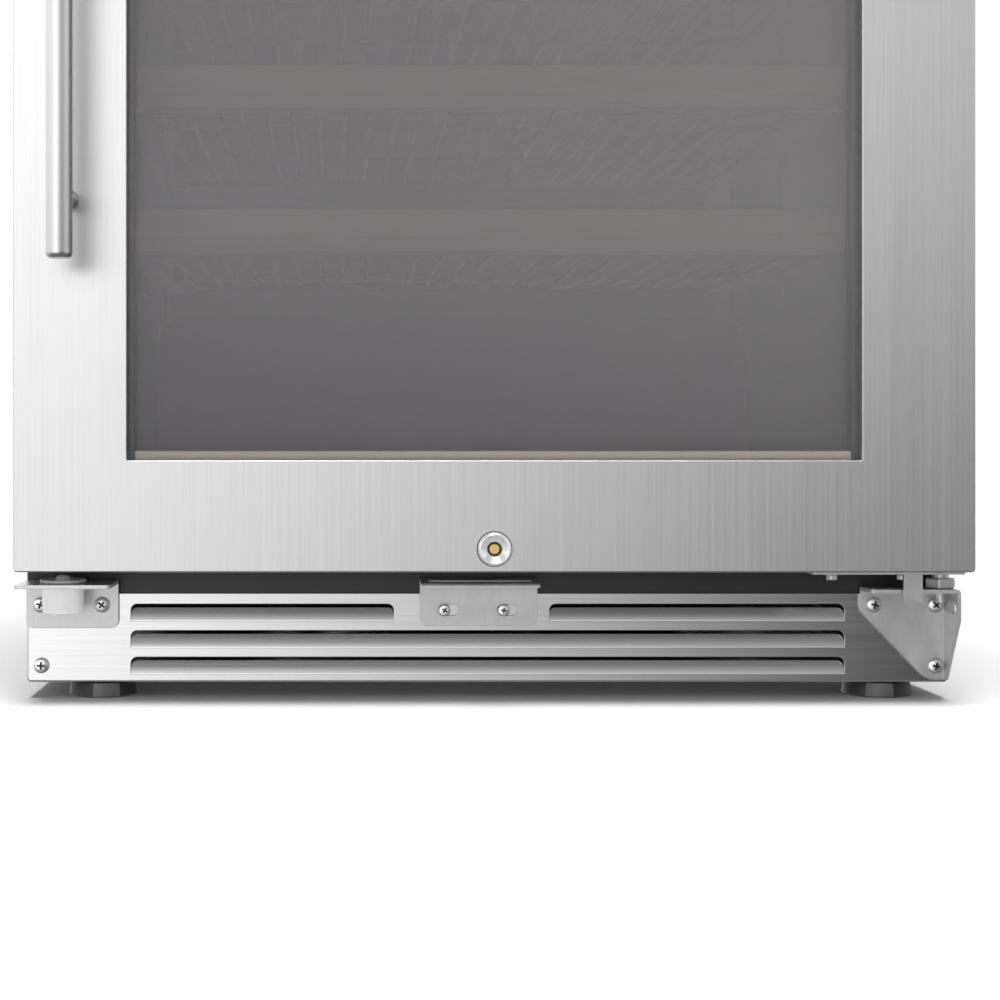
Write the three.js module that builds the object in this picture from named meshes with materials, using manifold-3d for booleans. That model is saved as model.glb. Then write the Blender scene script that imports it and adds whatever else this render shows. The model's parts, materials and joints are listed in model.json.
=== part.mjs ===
// An undercounter wine cooler: a glazed steel-framed door on a black steel cabinet, with pull-out
// bottle shelves, fan cooling and a compressor bay behind a louvred kick plate.
// Millimetres, +Z up, -Y to the front, origin on the floor at the middle of the footprint.
import * as THREE from "three";
import { mergeVertices } from "three/addons/utils/BufferGeometryUtils.js";
import Module from "manifold-3d";

const wasm = await Module();
wasm.setup();

// ---- Driving dimensions ----
const WIDTH = 595; // door and cabinet alike
const HEIGHT = 820; // floor to cabinet top, with the feet wound in
const DEPTH = 573; // door face to the rear spacers
const HANDLE_REACH = 45; // front of the handle, before the door face
const SHEET = 1.2; // cabinet and door sheet steel
const PLATE = 2.4; // bracket plate
const GAP = 0.3; // between pieces that rest on each other

const half = WIDTH / 2;
const faceY = -(DEPTH - HANDLE_REACH) / 2; // the door face, so that the footprint is centred on Y = 0

// Distances behind the door face
const FRAME_BACK = 40; // rear edge of the door frame's returns
const DOOR_BACK = 41.7; // rear face of the door liner
const KICK_FRONT = 46.4; // face of the kick plate
const CABINET_FRONT = 48; // cabinet face, which the door gasket seals on
const SHELL_BACK = 565; // rear edge of the cabinet sides
const BAY_FRONT = 405; // front wall of the compressor bay
const LINER_BACK = 505; // rear wall of the wine compartment
const STEP_FRONT = 372; // where the compartment floor steps up over the bay

// Heights above the floor
const BASE = 12; // lower edge of the sides and the base pan
const KICK_BOTTOM = 10.7;
const KICK_TOP = 68;
const DUCT_TOP = 92; // ceiling of the air duct under the compartment
const BAY_TOP = 232; // ceiling of the compressor bay
const FLOOR = 137; // floor of the wine compartment
const STEP = 272; // top of the step over the bay
const CEILING = 778; // ceiling of the wine compartment
const DOOR_BOTTOM = 85;
const DOOR_TOP = 812;
const RAIL = 69.5; // width of the door frame's face

// Hinge, lock and fasteners: X, distance behind the door face, height
const HINGE_X = 287;
const HINGE_DEPTH = 32;
const LOCK_Z = 99.5;
const SCREW_INNER_X = 248.5; // the same screw holes on both sides, so that the door can be rehung
const SCREW_OUTER_X = 288;
const SCREW_UPPER_Z = 61;
const SCREW_LOWER_Z = 21.6;
const STRIKE = { x0: -43.8, x1: 32.1, z0: 47.3, back: 78.7, front: 75.7, reach: 15.2 };
const STRIKE_SCREWS = [-27.9, 10.2];
const STRIKE_SCREW_Z = 57.4;

const FOOT_X = { left: -251.6, right: 259.4 };
const FOOT_DEPTHS = { front: 72, rear: 515 };
const STEM_R = 5;

const SHELF_LEVELS = [306, 400, 494, 588, 682]; // wire plane of each pull-out shelf
const SHELF_HALF = 236;
const SHELF_FRONT = 58; // front of the wooden fascia
const FASCIA = 16; // its thickness

// ---- Solids ----

// A closed three.js geometry as a manifold-3d solid, turned right way out.
function solid(geometry) {
  const bare = geometry.index ? geometry.toNonIndexed() : geometry.clone();
  bare.deleteAttribute("normal");
  bare.deleteAttribute("uv");
  const merged = mergeVertices(bare, 1e-4);
  const vertProperties = merged.attributes.position.array;
  const triVerts = new Uint32Array(merged.index.array);
  const made = new wasm.Manifold(new wasm.Mesh({ numProp: 3, vertProperties, triVerts }));
  if (made.volume() > 0) return made;
  const turned = triVerts.slice().reverse();
  return new wasm.Manifold(new wasm.Mesh({ numProp: 3, vertProperties, triVerts: turned }));
}

const join = (first, ...others) => others.reduce((sum, other) => sum.add(other), first);
const cut = (first, ...others) => others.reduce((rest, other) => rest.subtract(other), first);

// A box between limits in X, distance behind the door face, and height.
function slab([x0, x1], [d0, d1], [z0, z1]) {
  const box = new THREE.BoxGeometry(x1 - x0, d1 - d0, z1 - z0);
  return solid(box.translate((x0 + x1) / 2, faceY + (d0 + d1) / 2, (z0 + z1) / 2));
}

// A box symmetric about X = 0.
const centred = (x, depths, heights) => slab([-x, x], depths, heights);

// Round bars along Y, Z and X.
function rodY(x, z, r, [d0, d1], sides = 16) {
  const bar = new THREE.CylinderGeometry(r, r, d1 - d0, sides);
  return solid(bar.translate(x, faceY + (d0 + d1) / 2, z));
}

function rodZ(x, d, r, [z0, z1], sides = 16) {
  const bar = new THREE.CylinderGeometry(r, r, z1 - z0, sides).rotateX(Math.PI / 2);
  return solid(bar.translate(x, faceY + d, (z0 + z1) / 2));
}

function rodX(d, z, r, [x0, x1], sides = 16) {
  const bar = new THREE.CylinderGeometry(r, r, x1 - x0, sides).rotateZ(Math.PI / 2);
  return solid(bar.translate((x0 + x1) / 2, faceY + d, z));
}

// An outline in X and height, as a plate between two distances behind the door face.
function plateXZ(shape, [d0, d1], curveSegments = 4) {
  const plate = new THREE.ExtrudeGeometry(shape, { depth: d1 - d0, bevelEnabled: false, curveSegments });
  return solid(plate.rotateX(Math.PI / 2).translate(0, faceY + d1, 0));
}

// An outline of [distance behind the door face, height] points, as a bar from x0 to x1.
function barX(points, [x0, x1]) {
  const outline = new THREE.Shape(points.map(([d, z]) => new THREE.Vector2(faceY + d, z)));
  const bar = new THREE.ExtrudeGeometry(outline, { depth: x1 - x0, bevelEnabled: false });
  return solid(bar.rotateY(Math.PI / 2).rotateX(Math.PI / 2).translate(x0, 0, 0));
}

// A turned piece from [radius, height] points, about the vertical axis.
function turnedZ(points, sides) {
  const profile = points.map(([r, z]) => new THREE.Vector2(r, z));
  return solid(new THREE.LatheGeometry(profile, sides).rotateX(Math.PI / 2));
}

// A turned piece from [radius, distance behind the door face] points, about an axis along Y.
function turnedY(points, x, z, sides) {
  const profile = points.map(([r, d]) => new THREE.Vector2(r, d));
  return solid(new THREE.LatheGeometry(profile, sides).translate(x, faceY, z));
}

// A rectangle with rounded corners: radii of the top pair and the bottom pair.
function rounded([x0, x1], [z0, z1], top, bottom) {
  const path = new THREE.Shape();
  const quarter = Math.PI / 2;
  path.moveTo(x0 + bottom, z0);
  path.lineTo(x1 - bottom, z0);
  if (bottom) path.absarc(x1 - bottom, z0 + bottom, bottom, -quarter, 0);
  path.lineTo(x1, z1 - top);
  if (top) path.absarc(x1 - top, z1 - top, top, 0, quarter);
  path.lineTo(x0 + top, z1);
  if (top) path.absarc(x0 + top, z1 - top, top, quarter, 2 * quarter);
  path.lineTo(x0, z0 + bottom);
  if (bottom) path.absarc(x0 + bottom, z0 + bottom, bottom, 2 * quarter, 3 * quarter);
  return path;
}

const finishes = {
  steel: { color: 0xb9babb, roughness: 0.35, metalness: 1 },
  bracketSteel: { color: 0xb4b4b2, roughness: 0.45, metalness: 1 },
  screwSteel: { color: 0xd6d6d4, roughness: 0.25, metalness: 1 },
  blackPaint: { color: 0x151516, roughness: 0.5, metalness: 0 },
  galvanised: { color: 0x8d9092, roughness: 0.5, metalness: 1 },
  darkPlastic: { color: 0x1c1c1e, roughness: 0.5, metalness: 0 },
  nylon: { color: 0xe6e6e4, roughness: 0.45, metalness: 0 },
  rubber: { color: 0x202022, roughness: 0.75, metalness: 0 },
  glass: { color: 0x5b5a60, roughness: 0.05, metalness: 0 },
  spacer: { color: 0xa29b93, roughness: 0.4, metalness: 1 },
  chrome: { color: 0xe8e8e8, roughness: 0.08, metalness: 1 },
  brass: { color: 0xc59a4a, roughness: 0.3, metalness: 1 },
  wood: { color: 0xc79b66, roughness: 0.55, metalness: 0 },
  blackWire: { color: 0x26272a, roughness: 0.4, metalness: 0.4 },
  foam: { color: 0xd9c48a, roughness: 0.9, metalness: 0 },
  aluminium: { color: 0xb5b8ba, roughness: 0.4, metalness: 1 },
  light: { color: 0xf2f4f8, roughness: 0.3, metalness: 0 },
};

// A named mesh from a manifold-3d solid.
function piece(name, shape, finish) {
  const { vertProperties, triVerts } = shape.getMesh();
  const geometry = new THREE.BufferGeometry();
  geometry.setAttribute("position", new THREE.BufferAttribute(vertProperties, 3));
  geometry.setIndex(new THREE.BufferAttribute(triVerts, 1));
  geometry.computeVertexNormals();
  const mesh = new THREE.Mesh(geometry, new THREE.MeshStandardMaterial(finishes[finish]));
  mesh.name = name;
  return mesh;
}

// ---- Cabinet ----

const SCREW_HOLE_R = 2.6;
const screwHole = (x, z) => rodY(x, z, SCREW_HOLE_R, [KICK_FRONT - 6, CABINET_FRONT + 6], 10);
const bracketHoles = (side) => [
  screwHole(side * SCREW_INNER_X, SCREW_UPPER_Z),
  screwHole(side * SCREW_OUTER_X, SCREW_UPPER_Z),
  screwHole(side * SCREW_OUTER_X, SCREW_LOWER_Z),
];

// Wrapper, front frame and stepped floor, welded into one.
function cabinetShell() {
  const inside = half - SHEET / 2; // the floor panels end inside the side sheets
  const wrapper = cut(
    centred(half, [CABINET_FRONT, SHELL_BACK], [BASE, HEIGHT]),
    centred(half - SHEET, [CABINET_FRONT + SHEET, SHELL_BACK + 1], [BASE - 1, HEIGHT - SHEET]),
    centred(255, [CABINET_FRONT - 1, CABINET_FRONT + 2], [133, 782]),
    centred(236, [CABINET_FRONT - 1, CABINET_FRONT + 2], [BASE - 1, KICK_TOP - 2]),
    ...bracketHoles(1),
    ...bracketHoles(-1),
  );
  return join(
    wrapper,
    centred(inside, [CABINET_FRONT + SHEET / 2, BAY_FRONT + SHEET], [DUCT_TOP, DUCT_TOP + SHEET]),
    centred(inside, [BAY_FRONT, BAY_FRONT + SHEET], [DUCT_TOP, BAY_TOP + SHEET]),
    centred(inside, [BAY_FRONT, SHELL_BACK], [BAY_TOP, BAY_TOP + SHEET]),
  );
}

const LINER_HALF = 247.5;
const LINER_WALL = 2.2;

// The compartment's space, grown by a margin, with the step over the compressor bay left out.
function compartment(margin, front) {
  return cut(
    centred(LINER_HALF + margin, [front, LINER_BACK + margin], [FLOOR - margin, CEILING + margin]),
    centred(LINER_HALF + 20, [STEP_FRONT + margin, LINER_BACK + 20], [FLOOR - 20, STEP - margin]),
  );
}

const LIP = { x: 254.6, depths: [49.6, 51.4], heights: [133.4, 781.6] };

function innerLiner() {
  const lip = centred(LIP.x, LIP.depths, LIP.heights);
  return cut(join(compartment(LINER_WALL, LIP.depths[0]), lip), compartment(0, CABINET_FRONT));
}

function foamInsulation() {
  return cut(
    centred(half - SHEET - GAP, [CABINET_FRONT + SHEET + GAP, SHELL_BACK - GAP], [DUCT_TOP + SHEET + GAP, 818.5]),
    compartment(LINER_WALL + GAP, CABINET_FRONT),
    centred(half, [BAY_FRONT - GAP, SHELL_BACK + 1], [DUCT_TOP, BAY_TOP + SHEET + GAP]),
    centred(LIP.x + GAP, [CABINET_FRONT, LIP.depths[1] + GAP], [LIP.heights[0] - GAP, LIP.heights[1] + GAP]),
  );
}

const PANEL = [SHELL_BACK + GAP, SHELL_BACK + GAP + SHEET];

function backPanel() {
  const spacer = (x) => rodY(x, 760, 12, [PANEL[0], DEPTH]);
  return join(centred(half - 1.3, PANEL, [BAY_TOP + 2, 818.6]), spacer(-200), spacer(200));
}

function machineCover() {
  const vents = [];
  for (let row = 0; row < 8; row++) {
    const heights = [60 + row * 18, 67 + row * 18];
    vents.push(slab([-240, -90], [SHELL_BACK, DEPTH], heights), slab([90, 240], [SHELL_BACK, DEPTH], heights));
  }
  const inletHole = centred(24, [SHELL_BACK, DEPTH], [60, 84]);
  return cut(centred(290, PANEL, [BASE + 4, BAY_TOP - GAP]), inletHole, ...vents);
}

function powerInlet() {
  const pins = [-9, 0, 9].map((x) => slab([x - 1.2, x + 1.2], [555, 564], [69, 75]));
  const body = cut(centred(23.7, [546, 569], [60.3, 83.7]), centred(16, [556, 570], [64.5, 79.5]));
  return join(body, ...pins);
}

// A tray open at the front, with a threaded boss over each foot.
function basePan() {
  const edge = half - 2;
  const tray = cut(
    centred(edge, [51, 563], [BASE, BASE + 22]),
    centred(edge - 1.5, [50, 561.5], [BASE + 1.5, BASE + 23]),
  );
  const places = Object.values(FOOT_DEPTHS).flatMap((depth) => Object.values(FOOT_X).map((x) => [x, depth]));
  const bosses = places.map(([x, depth]) => rodZ(x, depth, 9, [BASE + 0.7, BASE + 26]));
  const bores = places.map(([x, depth]) => rodZ(x, depth, STEM_R + 0.5, [BASE - 1, BASE + 27]));
  return cut(join(tray, ...bosses), ...bores);
}

// A levelling foot about its own stem, in its rest place with the stem wound in.
function foot() {
  return turnedZ(
    [[0, 0], [22.2, 0], [22.2, 1.5], [20.4, 9.5], [9, 10.3], [9, 11.2], [STEM_R, 11.2], [STEM_R, 36], [0, 36]],
    20,
  );
}

// ---- Kick plate ----

const LOUVRE_TOPS = [61.3, 44.2, 27.1];
const LOUVRE_HEIGHT = 10;
const LOUVRE_X = 230.4;
const STRIKE_GAP = [-60.5, 39.9]; // the upper louvre stops either side of the lock strike
const LOUVRE_CORNER = 4.2;

// Each louvre's [x0, x1, top].
const louvres = [
  [-LOUVRE_X, STRIKE_GAP[0], LOUVRE_TOPS[0]],
  [STRIKE_GAP[1], LOUVRE_X, LOUVRE_TOPS[0]],
  [-LOUVRE_X, LOUVRE_X, LOUVRE_TOPS[1]],
  [-LOUVRE_X, LOUVRE_X, LOUVRE_TOPS[2]],
];

// The sheet has its louvres cut on three sides and their blades bent in and up from the lower edge.
function kickPlate() {
  const back = CABINET_FRONT - GAP;
  const openings = louvres.map(([x0, x1, top]) =>
    plateXZ(rounded([x0, x1], [top - LOUVRE_HEIGHT, top], LOUVRE_CORNER, 0), [KICK_FRONT - 1, back + 1]),
  );
  const blades = louvres.map(([x0, x1, top]) => {
    const z = top - LOUVRE_HEIGHT;
    const profile = [[KICK_FRONT + 0.1, z - 0.8], [back - 0.1, z - 0.8], [back + 3.1, z + 7.3], [back + 1.9, z + 7.8]];
    return barX(profile, [x0 + 0.6, x1 - 0.6]);
  });
  const strikeHoles = STRIKE_SCREWS.map((x) => screwHole(x, STRIKE_SCREW_Z));
  const sheet = plateXZ(rounded([-half, half], [KICK_BOTTOM, KICK_TOP], 0, 2.6), [KICK_FRONT, back]);
  return join(cut(sheet, ...openings, ...strikeHoles, ...bracketHoles(1), ...bracketHoles(-1)), ...blades);
}

// ---- Hinges, door rest and strike ----

const BRACKET_BACK = KICK_FRONT - GAP; // brackets lie on the kick plate
const BRACKET_FRONT = BRACKET_BACK - PLATE;

// Back plate, shelf for the pin, and a side web that runs out towards the bottom.
function lowerHingeBracket() {
  const [x0, x1] = [240, 296.1];
  const [top, bottom] = [72.6, 12.7];
  const reach = 20.4;
  const outline = new THREE.Shape();
  outline.moveTo(x0, top);
  outline.lineTo(x0, 60);
  outline.quadraticCurveTo(x0, 57.2, 242.2, 55);
  outline.lineTo(277.5, 18.4);
  outline.quadraticCurveTo(282.8, bottom, 287, bottom);
  outline.lineTo(x1, bottom);
  outline.lineTo(x1, top);
  const web = [[BRACKET_BACK, bottom], [BRACKET_FRONT, bottom], [reach, 53.1], [reach, top], [BRACKET_BACK, top]];
  return cut(
    join(
      plateXZ(outline, [BRACKET_FRONT, BRACKET_BACK]),
      slab([x0, x1], [reach, BRACKET_BACK], [top - PLATE, top]),
      barX(web, [x1 - PLATE, x1]),
    ),
    rodX(27, 60.3, 4, [x1 - 5, x1 + 5], 12),
    rodZ(HINGE_X, HINGE_DEPTH, 3.9, [60, 80]),
    ...bracketHoles(1),
  );
}

const PIN_R = 5.2;
const PIN_BORE_R = 5.8;

function lowerHingePin() {
  const axis = [HINGE_X, HINGE_DEPTH];
  return join(
    rodZ(...axis, 3.5, [63.5, 73]),
    rodZ(...axis, 9.8, [72.6 + GAP, 79.2], 6),
    rodZ(...axis, PIN_R, [79, 97]),
  );
}

// The leg stops short of the corner that the door's rear edge swings through.
function upperHingeBracket() {
  const [x0, x1] = [232, 296.1];
  return join(
    slab([x0, 278], [CABINET_FRONT - GAP - PLATE, CABINET_FRONT - GAP], [805, 816.8]),
    slab([x0, x1], [20.4, CABINET_FRONT - GAP], [816.8 - PLATE, 816.8]),
    rodZ(HINGE_X, HINGE_DEPTH, PIN_R, [799, 815]),
  );
}

const REST_X = -270.3;
const REST_DEPTH = 24;
const REST_TOP = 76.9;

// The angle that carries the free end of the closed door.
function doorRestBracket() {
  const xs = [-half, -237.9];
  const outline = rounded(xs, [45.9, REST_TOP], 0, 5);
  const shelf = slab(xs, [1.5, BRACKET_BACK], [REST_TOP - PLATE, REST_TOP]);
  return cut(
    join(plateXZ(outline, [BRACKET_FRONT, BRACKET_BACK]), shelf),
    rodZ(REST_X, REST_DEPTH, 10, [70, 80], 20),
    ...bracketHoles(-1),
  );
}

// A nylon bush with a dished head and a domed centre, through the door rest bracket.
function doorRestBush() {
  const under = REST_TOP - PLATE - GAP;
  const seat = REST_TOP + GAP;
  return turnedZ(
    [[0, 58.3], [13, 58.3], [13, under], [9.7, under], [9.7, seat], [14.6, seat], [14.6, seat + 1.8],
      [13, seat + 1.8], [12.4, seat + 1.1], [6, seat + 1.1], [4.2, seat + 3.6], [0, seat + 4.8]],
    20,
  );
}

// A slotted plate with a falling top ledge, whose long slot takes the lock's cam.
function lockStrike() {
  const { x0, x1, z0, back, front, reach } = STRIKE;
  const rear = KICK_FRONT - GAP;
  const profile = [
    [rear - 1.6, z0], [rear, z0], [rear, back], [rear - reach, front],
    [rear - reach, front - 2], [rear - 1.6, back - 2.3],
  ];
  const slots = STRIKE_SCREWS.map((x) => {
    const stadium = rounded([x - 3.9, x + 9.2], [STRIKE_SCREW_Z - 3.4, STRIKE_SCREW_Z + 3.4], 3.3, 3.3);
    return plateXZ(stadium, [rear - 4, rear + 1]);
  });
  return cut(barX(profile, [x0, x1]), ...slots, slab([-38.4, 27.1], [34.4, 39.6], [68, 82]));
}

// A pan-head screw along +Y from the underside of its head.
function screw(headR, headHeight, length) {
  const profile = [
    [0, -headHeight], [headR * 0.55, -headHeight * 0.94], [headR * 0.86, -headHeight * 0.66], [headR, -headHeight * 0.2],
    [headR, 0], [2.2, 0], [2.2, length], [0, length],
  ];
  return solid(new THREE.LatheGeometry(profile.map(([r, y]) => new THREE.Vector2(r, y)), 12));
}

// ---- Cooling, control and light ----

function compressor() {
  const dome = turnedZ([[0, 30], [50, 30], [66, 48], [68, 90], [68, 130], [58, 160], [34, 176], [0, 181]], 20);
  const base = solid(new THREE.BoxGeometry(170, 110, 4).translate(0, 0, 29));
  const grommets = [-70, 70].flatMap((x) =>
    [-40, 40].map((y) => solid(new THREE.CylinderGeometry(9, 9, 14, 10).rotateX(Math.PI / 2).translate(x, y, 21))),
  );
  return join(dome, base, ...grommets);
}

function condenser() {
  const fins = [];
  for (let d = 425; d <= 545; d += 15) fins.push(slab([-240, -150], [d, d + 3], [30, 170]));
  const tubes = [50, 100, 150].map((z) => rodX(486, z, 5, [-248, -142], 8));
  const ends = [-236, -156].map((x) => slab([x, x + 2], [424, 549], [24, 176]));
  return join(...fins, ...tubes, ...ends);
}

const CONDENSER_FAN = { x: -120, depth: 486, z: 100, r: 52 };

function condenserFanFrame() {
  const { x, depth, z, r } = CONDENSER_FAN;
  const frame = slab([x - 13, x + 13], [depth - 62, depth + 62], [z - 78, z + 62]);
  const strut = slab([x + 9, x + 12], [depth - 60, depth + 60], [z - 6, z + 6]);
  return join(cut(frame, rodX(depth, z, r + 4, [x - 20, x + 20], 24)), strut);
}

// A hub and five pitched blades about the Y axis, centred on the origin.
function fanBlade(r, hubR, thickness) {
  let fan = solid(new THREE.CylinderGeometry(hubR, hubR, thickness, 15));
  for (let i = 0; i < 5; i++) {
    const blade = new THREE.BoxGeometry(r - hubR + 4, 1.6, r * 0.62);
    blade.rotateX(Math.PI / 7).translate((r + hubR - 4) / 2, 0, 0);
    fan = join(fan, solid(blade.rotateY((i * 2 * Math.PI) / 5)));
  }
  return fan;
}

const EVAPORATOR_FAN = { depth: 486, z: 590, r: 46 };

// The air tray on the rear wall, with an intake low down and a round fan opening above.
function evaporatorCover() {
  const { depth, z, r } = EVAPORATOR_FAN;
  const tray = cut(
    centred(200, [466, LINER_BACK - GAP], [310, 765]),
    centred(198, [468, LINER_BACK + 1], [312, 763]),
    rodY(0, z, r + 5, [460, depth], 28),
  );
  const intakes = [0, 1, 2, 3].map((row) => centred(130, [460, 470], [340 + row * 18, 348 + row * 18]));
  const guards = [-2, -1, 0, 1, 2].map((i) => centred(r + 6, [466, 468], [z + i * 18 - 1.5, z + i * 18 + 1.5]));
  return join(cut(tray, ...intakes), ...guards);
}

// A wedge under the ceiling, its face tipped down to the door.
function controlPanel() {
  const top = CEILING - GAP;
  return barX([[62, top], [62, top - 9], [72, top - 16.5], [150, top - 13], [150, top]], [-150, 150]);
}

function lightStrip() {
  return centred(200, [180, 196], [CEILING - 6, CEILING - GAP]);
}

// ---- Shelves ----

const WIRE = 5;
const SHELF_BACK = 448;

// The wire rack of one shelf, with its wire plane at height 0.
function shelfRack() {
  const depths = [SHELF_FRONT + FASCIA + GAP, SHELF_BACK];
  const thick = [-WIRE, 0];
  const bars = [
    slab([-SHELF_HALF, -SHELF_HALF + WIRE], depths, thick),
    slab([SHELF_HALF - WIRE, SHELF_HALF], depths, thick),
  ];
  for (const d of [depths[0], 190, 316, SHELF_BACK - WIRE]) bars.push(centred(SHELF_HALF, [d, d + WIRE], thick));
  for (let i = -2; i <= 2; i++) bars.push(slab([i * 78 - 2, i * 78 + 2], depths, [-WIRE + 0.5, -0.5]));
  return join(...bars);
}

function shelfFascia() {
  return centred(SHELF_HALF, [SHELF_FRONT, SHELF_FRONT + FASCIA], [-16, 12]);
}

// The low rack that the bottom row of bottles lies on, standing on the compartment floor.
function bottomRack() {
  const bars = [];
  for (const d of [70, 200, 340]) bars.push(centred(240, [d, d + WIRE], [141, 146]));
  for (let i = -3; i <= 3; i++) bars.push(slab([i * 78 - 2, i * 78 + 2], [70, 345], [141.5, 145.5]));
  for (const x of [-234, 230]) bars.push(slab([x, x + 4], [70, 345], [FLOOR + GAP, 145.5]));
  return join(...bars);
}

// Three uprights on a side wall with a ledge for each shelf.
function shelfLadder(side) {
  const span = (a, b) => (side < 0 ? [-b, -a] : [a, b]);
  const wall = LINER_HALF - GAP;
  const uprights = [90, 250, 410].map((d) => slab(span(wall - 3, wall), [d, d + 18], [280, 700]));
  const ledges = SHELF_LEVELS.map((z) =>
    slab(span(SHELF_HALF - 6, wall), [84, 440], [z - WIRE - GAP - 3, z - WIRE - GAP]),
  );
  return join(...uprights, ...ledges);
}

// ---- Door ----

const WINDOW = { x: half - RAIL - 0.7, z: [DOOR_BOTTOM + RAIL - 0.3, DOOR_TOP - RAIL] };
const PANE = { x: 240, z: [142, 755] };
const SPACER_IN = { x: 223.5, z: [160, 737] };
const OUTER_PANE = [5.3, 9.3];
const INNER_PANE = [21.5, 25.5];

const lockBore = (r, depths) => rodY(0, LOCK_Z, r, depths, 20);
const hingeBore = (heights) => rodZ(HINGE_X, HINGE_DEPTH, PIN_BORE_R, heights);
const CAM_SLOT = slab([-32, 9], [34.2, FRAME_BACK - 0.8], [DOOR_BOTTOM - 1, DOOR_BOTTOM + 3]);

// One pressed frame: face, outer returns and a short return round the window.
function doorFrame() {
  const zs = [DOOR_BOTTOM, DOOR_TOP];
  const tray = cut(
    centred(half, [0, FRAME_BACK], zs),
    centred(half - SHEET, [SHEET, FRAME_BACK + 1], [zs[0] + SHEET, zs[1] - SHEET]),
  );
  const rim = centred(WINDOW.x + SHEET, [SHEET / 2, 5], [WINDOW.z[0] - SHEET, WINDOW.z[1] + SHEET]);
  return cut(
    join(tray, rim),
    centred(WINDOW.x, [-1, 6], WINDOW.z),
    lockBore(8.4, [-1, 10]),
    hingeBore([DOOR_BOTTOM - 1, DOOR_BOTTOM + 3]),
    hingeBore([DOOR_TOP - 3, DOOR_TOP + 1]),
    CAM_SLOT,
  );
}

// The moulded frame that fills the pressing, clamps the panes and carries the gasket.
function doorLiner() {
  const margin = SHEET + GAP;
  return cut(
    centred(half - margin, [margin, DOOR_BACK], [DOOR_BOTTOM + margin, DOOR_TOP - margin]),
    centred(PANE.x + 0.5, [0, INNER_PANE[1] + GAP], [PANE.z[0] - 0.5, PANE.z[1] + 0.5]),
    centred(WINDOW.x + 1.7, [0, DOOR_BACK + 1], [WINDOW.z[0] - 1.7, WINDOW.z[1] + 1.7]),
    gasketRing(2.6, [36.5, DOOR_BACK + 1]),
    lockBore(8.4, [0, 33]),
    lockBore(4.6, [30, 40]),
    slab([-33, 12], [33, FRAME_BACK], [DOOR_BOTTOM, LOCK_Z + 12]),
    hingeBore([DOOR_BOTTOM, 99]),
    hingeBore([797, DOOR_TOP]),
  );
}

// A rectangular ring of half-width w about the gasket's line.
function gasketRing(w, depths) {
  const [x, bottom, top] = [274, 120, 795];
  return cut(
    centred(x + w, depths, [bottom - w, top + w]),
    centred(x - w, [depths[0] - 1, depths[1] + 1], [bottom + w, top - w]),
  );
}

function doorGasket() {
  return join(gasketRing(9, [DOOR_BACK + GAP, CABINET_FRONT - GAP]), gasketRing(2.2, [37, DOOR_BACK + 1]));
}

const pane = (depths) => centred(PANE.x, depths, PANE.z);

function glassSpacer() {
  const depths = [OUTER_PANE[1], INNER_PANE[0]];
  const hole = centred(SPACER_IN.x, [depths[0] - 1, depths[1] + 1], SPACER_IN.z);
  return cut(centred(PANE.x - 1, depths, [PANE.z[0] + 1, PANE.z[1] - 1]), hole);
}

// Screwed under the door: it turns on the pin, and its bent tab covers the bracket's front.
function doorHingePlate() {
  const heights = [DOOR_BOTTOM - GAP - 1.8, DOOR_BOTTOM - GAP];
  const bar = join(slab([200, 294.8], [10, 40], heights), slab([258.7, 270.5], [16.5, 18.5], [65.1, heights[1]]));
  return cut(bar, hingeBore([DOOR_BOTTOM - 5, DOOR_BOTTOM + 1]));
}

const HANDLE = { x: -half + RAIL / 2, r: 8, z: [275, 625], posts: { lower: 315, upper: 585 } };
const HANDLE_AXIS = HANDLE.r - HANDLE_REACH;

const handleBar = (grow) => rodZ(HANDLE.x, HANDLE_AXIS, HANDLE.r + grow, HANDLE.z, 24);
const handlePost = (z) => cut(rodY(HANDLE.x, z, 6, [HANDLE_AXIS, -GAP]), handleBar(GAP));

// ---- Lock ----

function lockBarrel() {
  const ring = [[9.2, -5], [10.4, -4.2], [10.4, -GAP], [8, -GAP], [8, 32], [4.4, 32], [4.4, -1.4], [6.2, -3]];
  return turnedY([...ring, ring[0]], 0, LOCK_Z, 24);
}

function lockPlug() {
  return turnedY([[0, -1.2], [3.1, -1.2], [3.1, 2], [4, 2], [4, 35.7], [3, 35.7], [3, 39.4], [0, 39.4]], 0, LOCK_Z, 20);
}

// Points left when unlocked, and down through the door's slot into the strike when locked.
function lockCam() {
  const arm = slab([-28, 0], [36, 38], [LOCK_Z - 5, LOCK_Z + 5]);
  const boss = rodY(0, LOCK_Z, 6.5, [36, 38]);
  return cut(join(arm, boss), rodY(0, LOCK_Z, 3.3, [35, 40], 20));
}

// ---- Assembly ----

const cooler = new THREE.Group();

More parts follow.
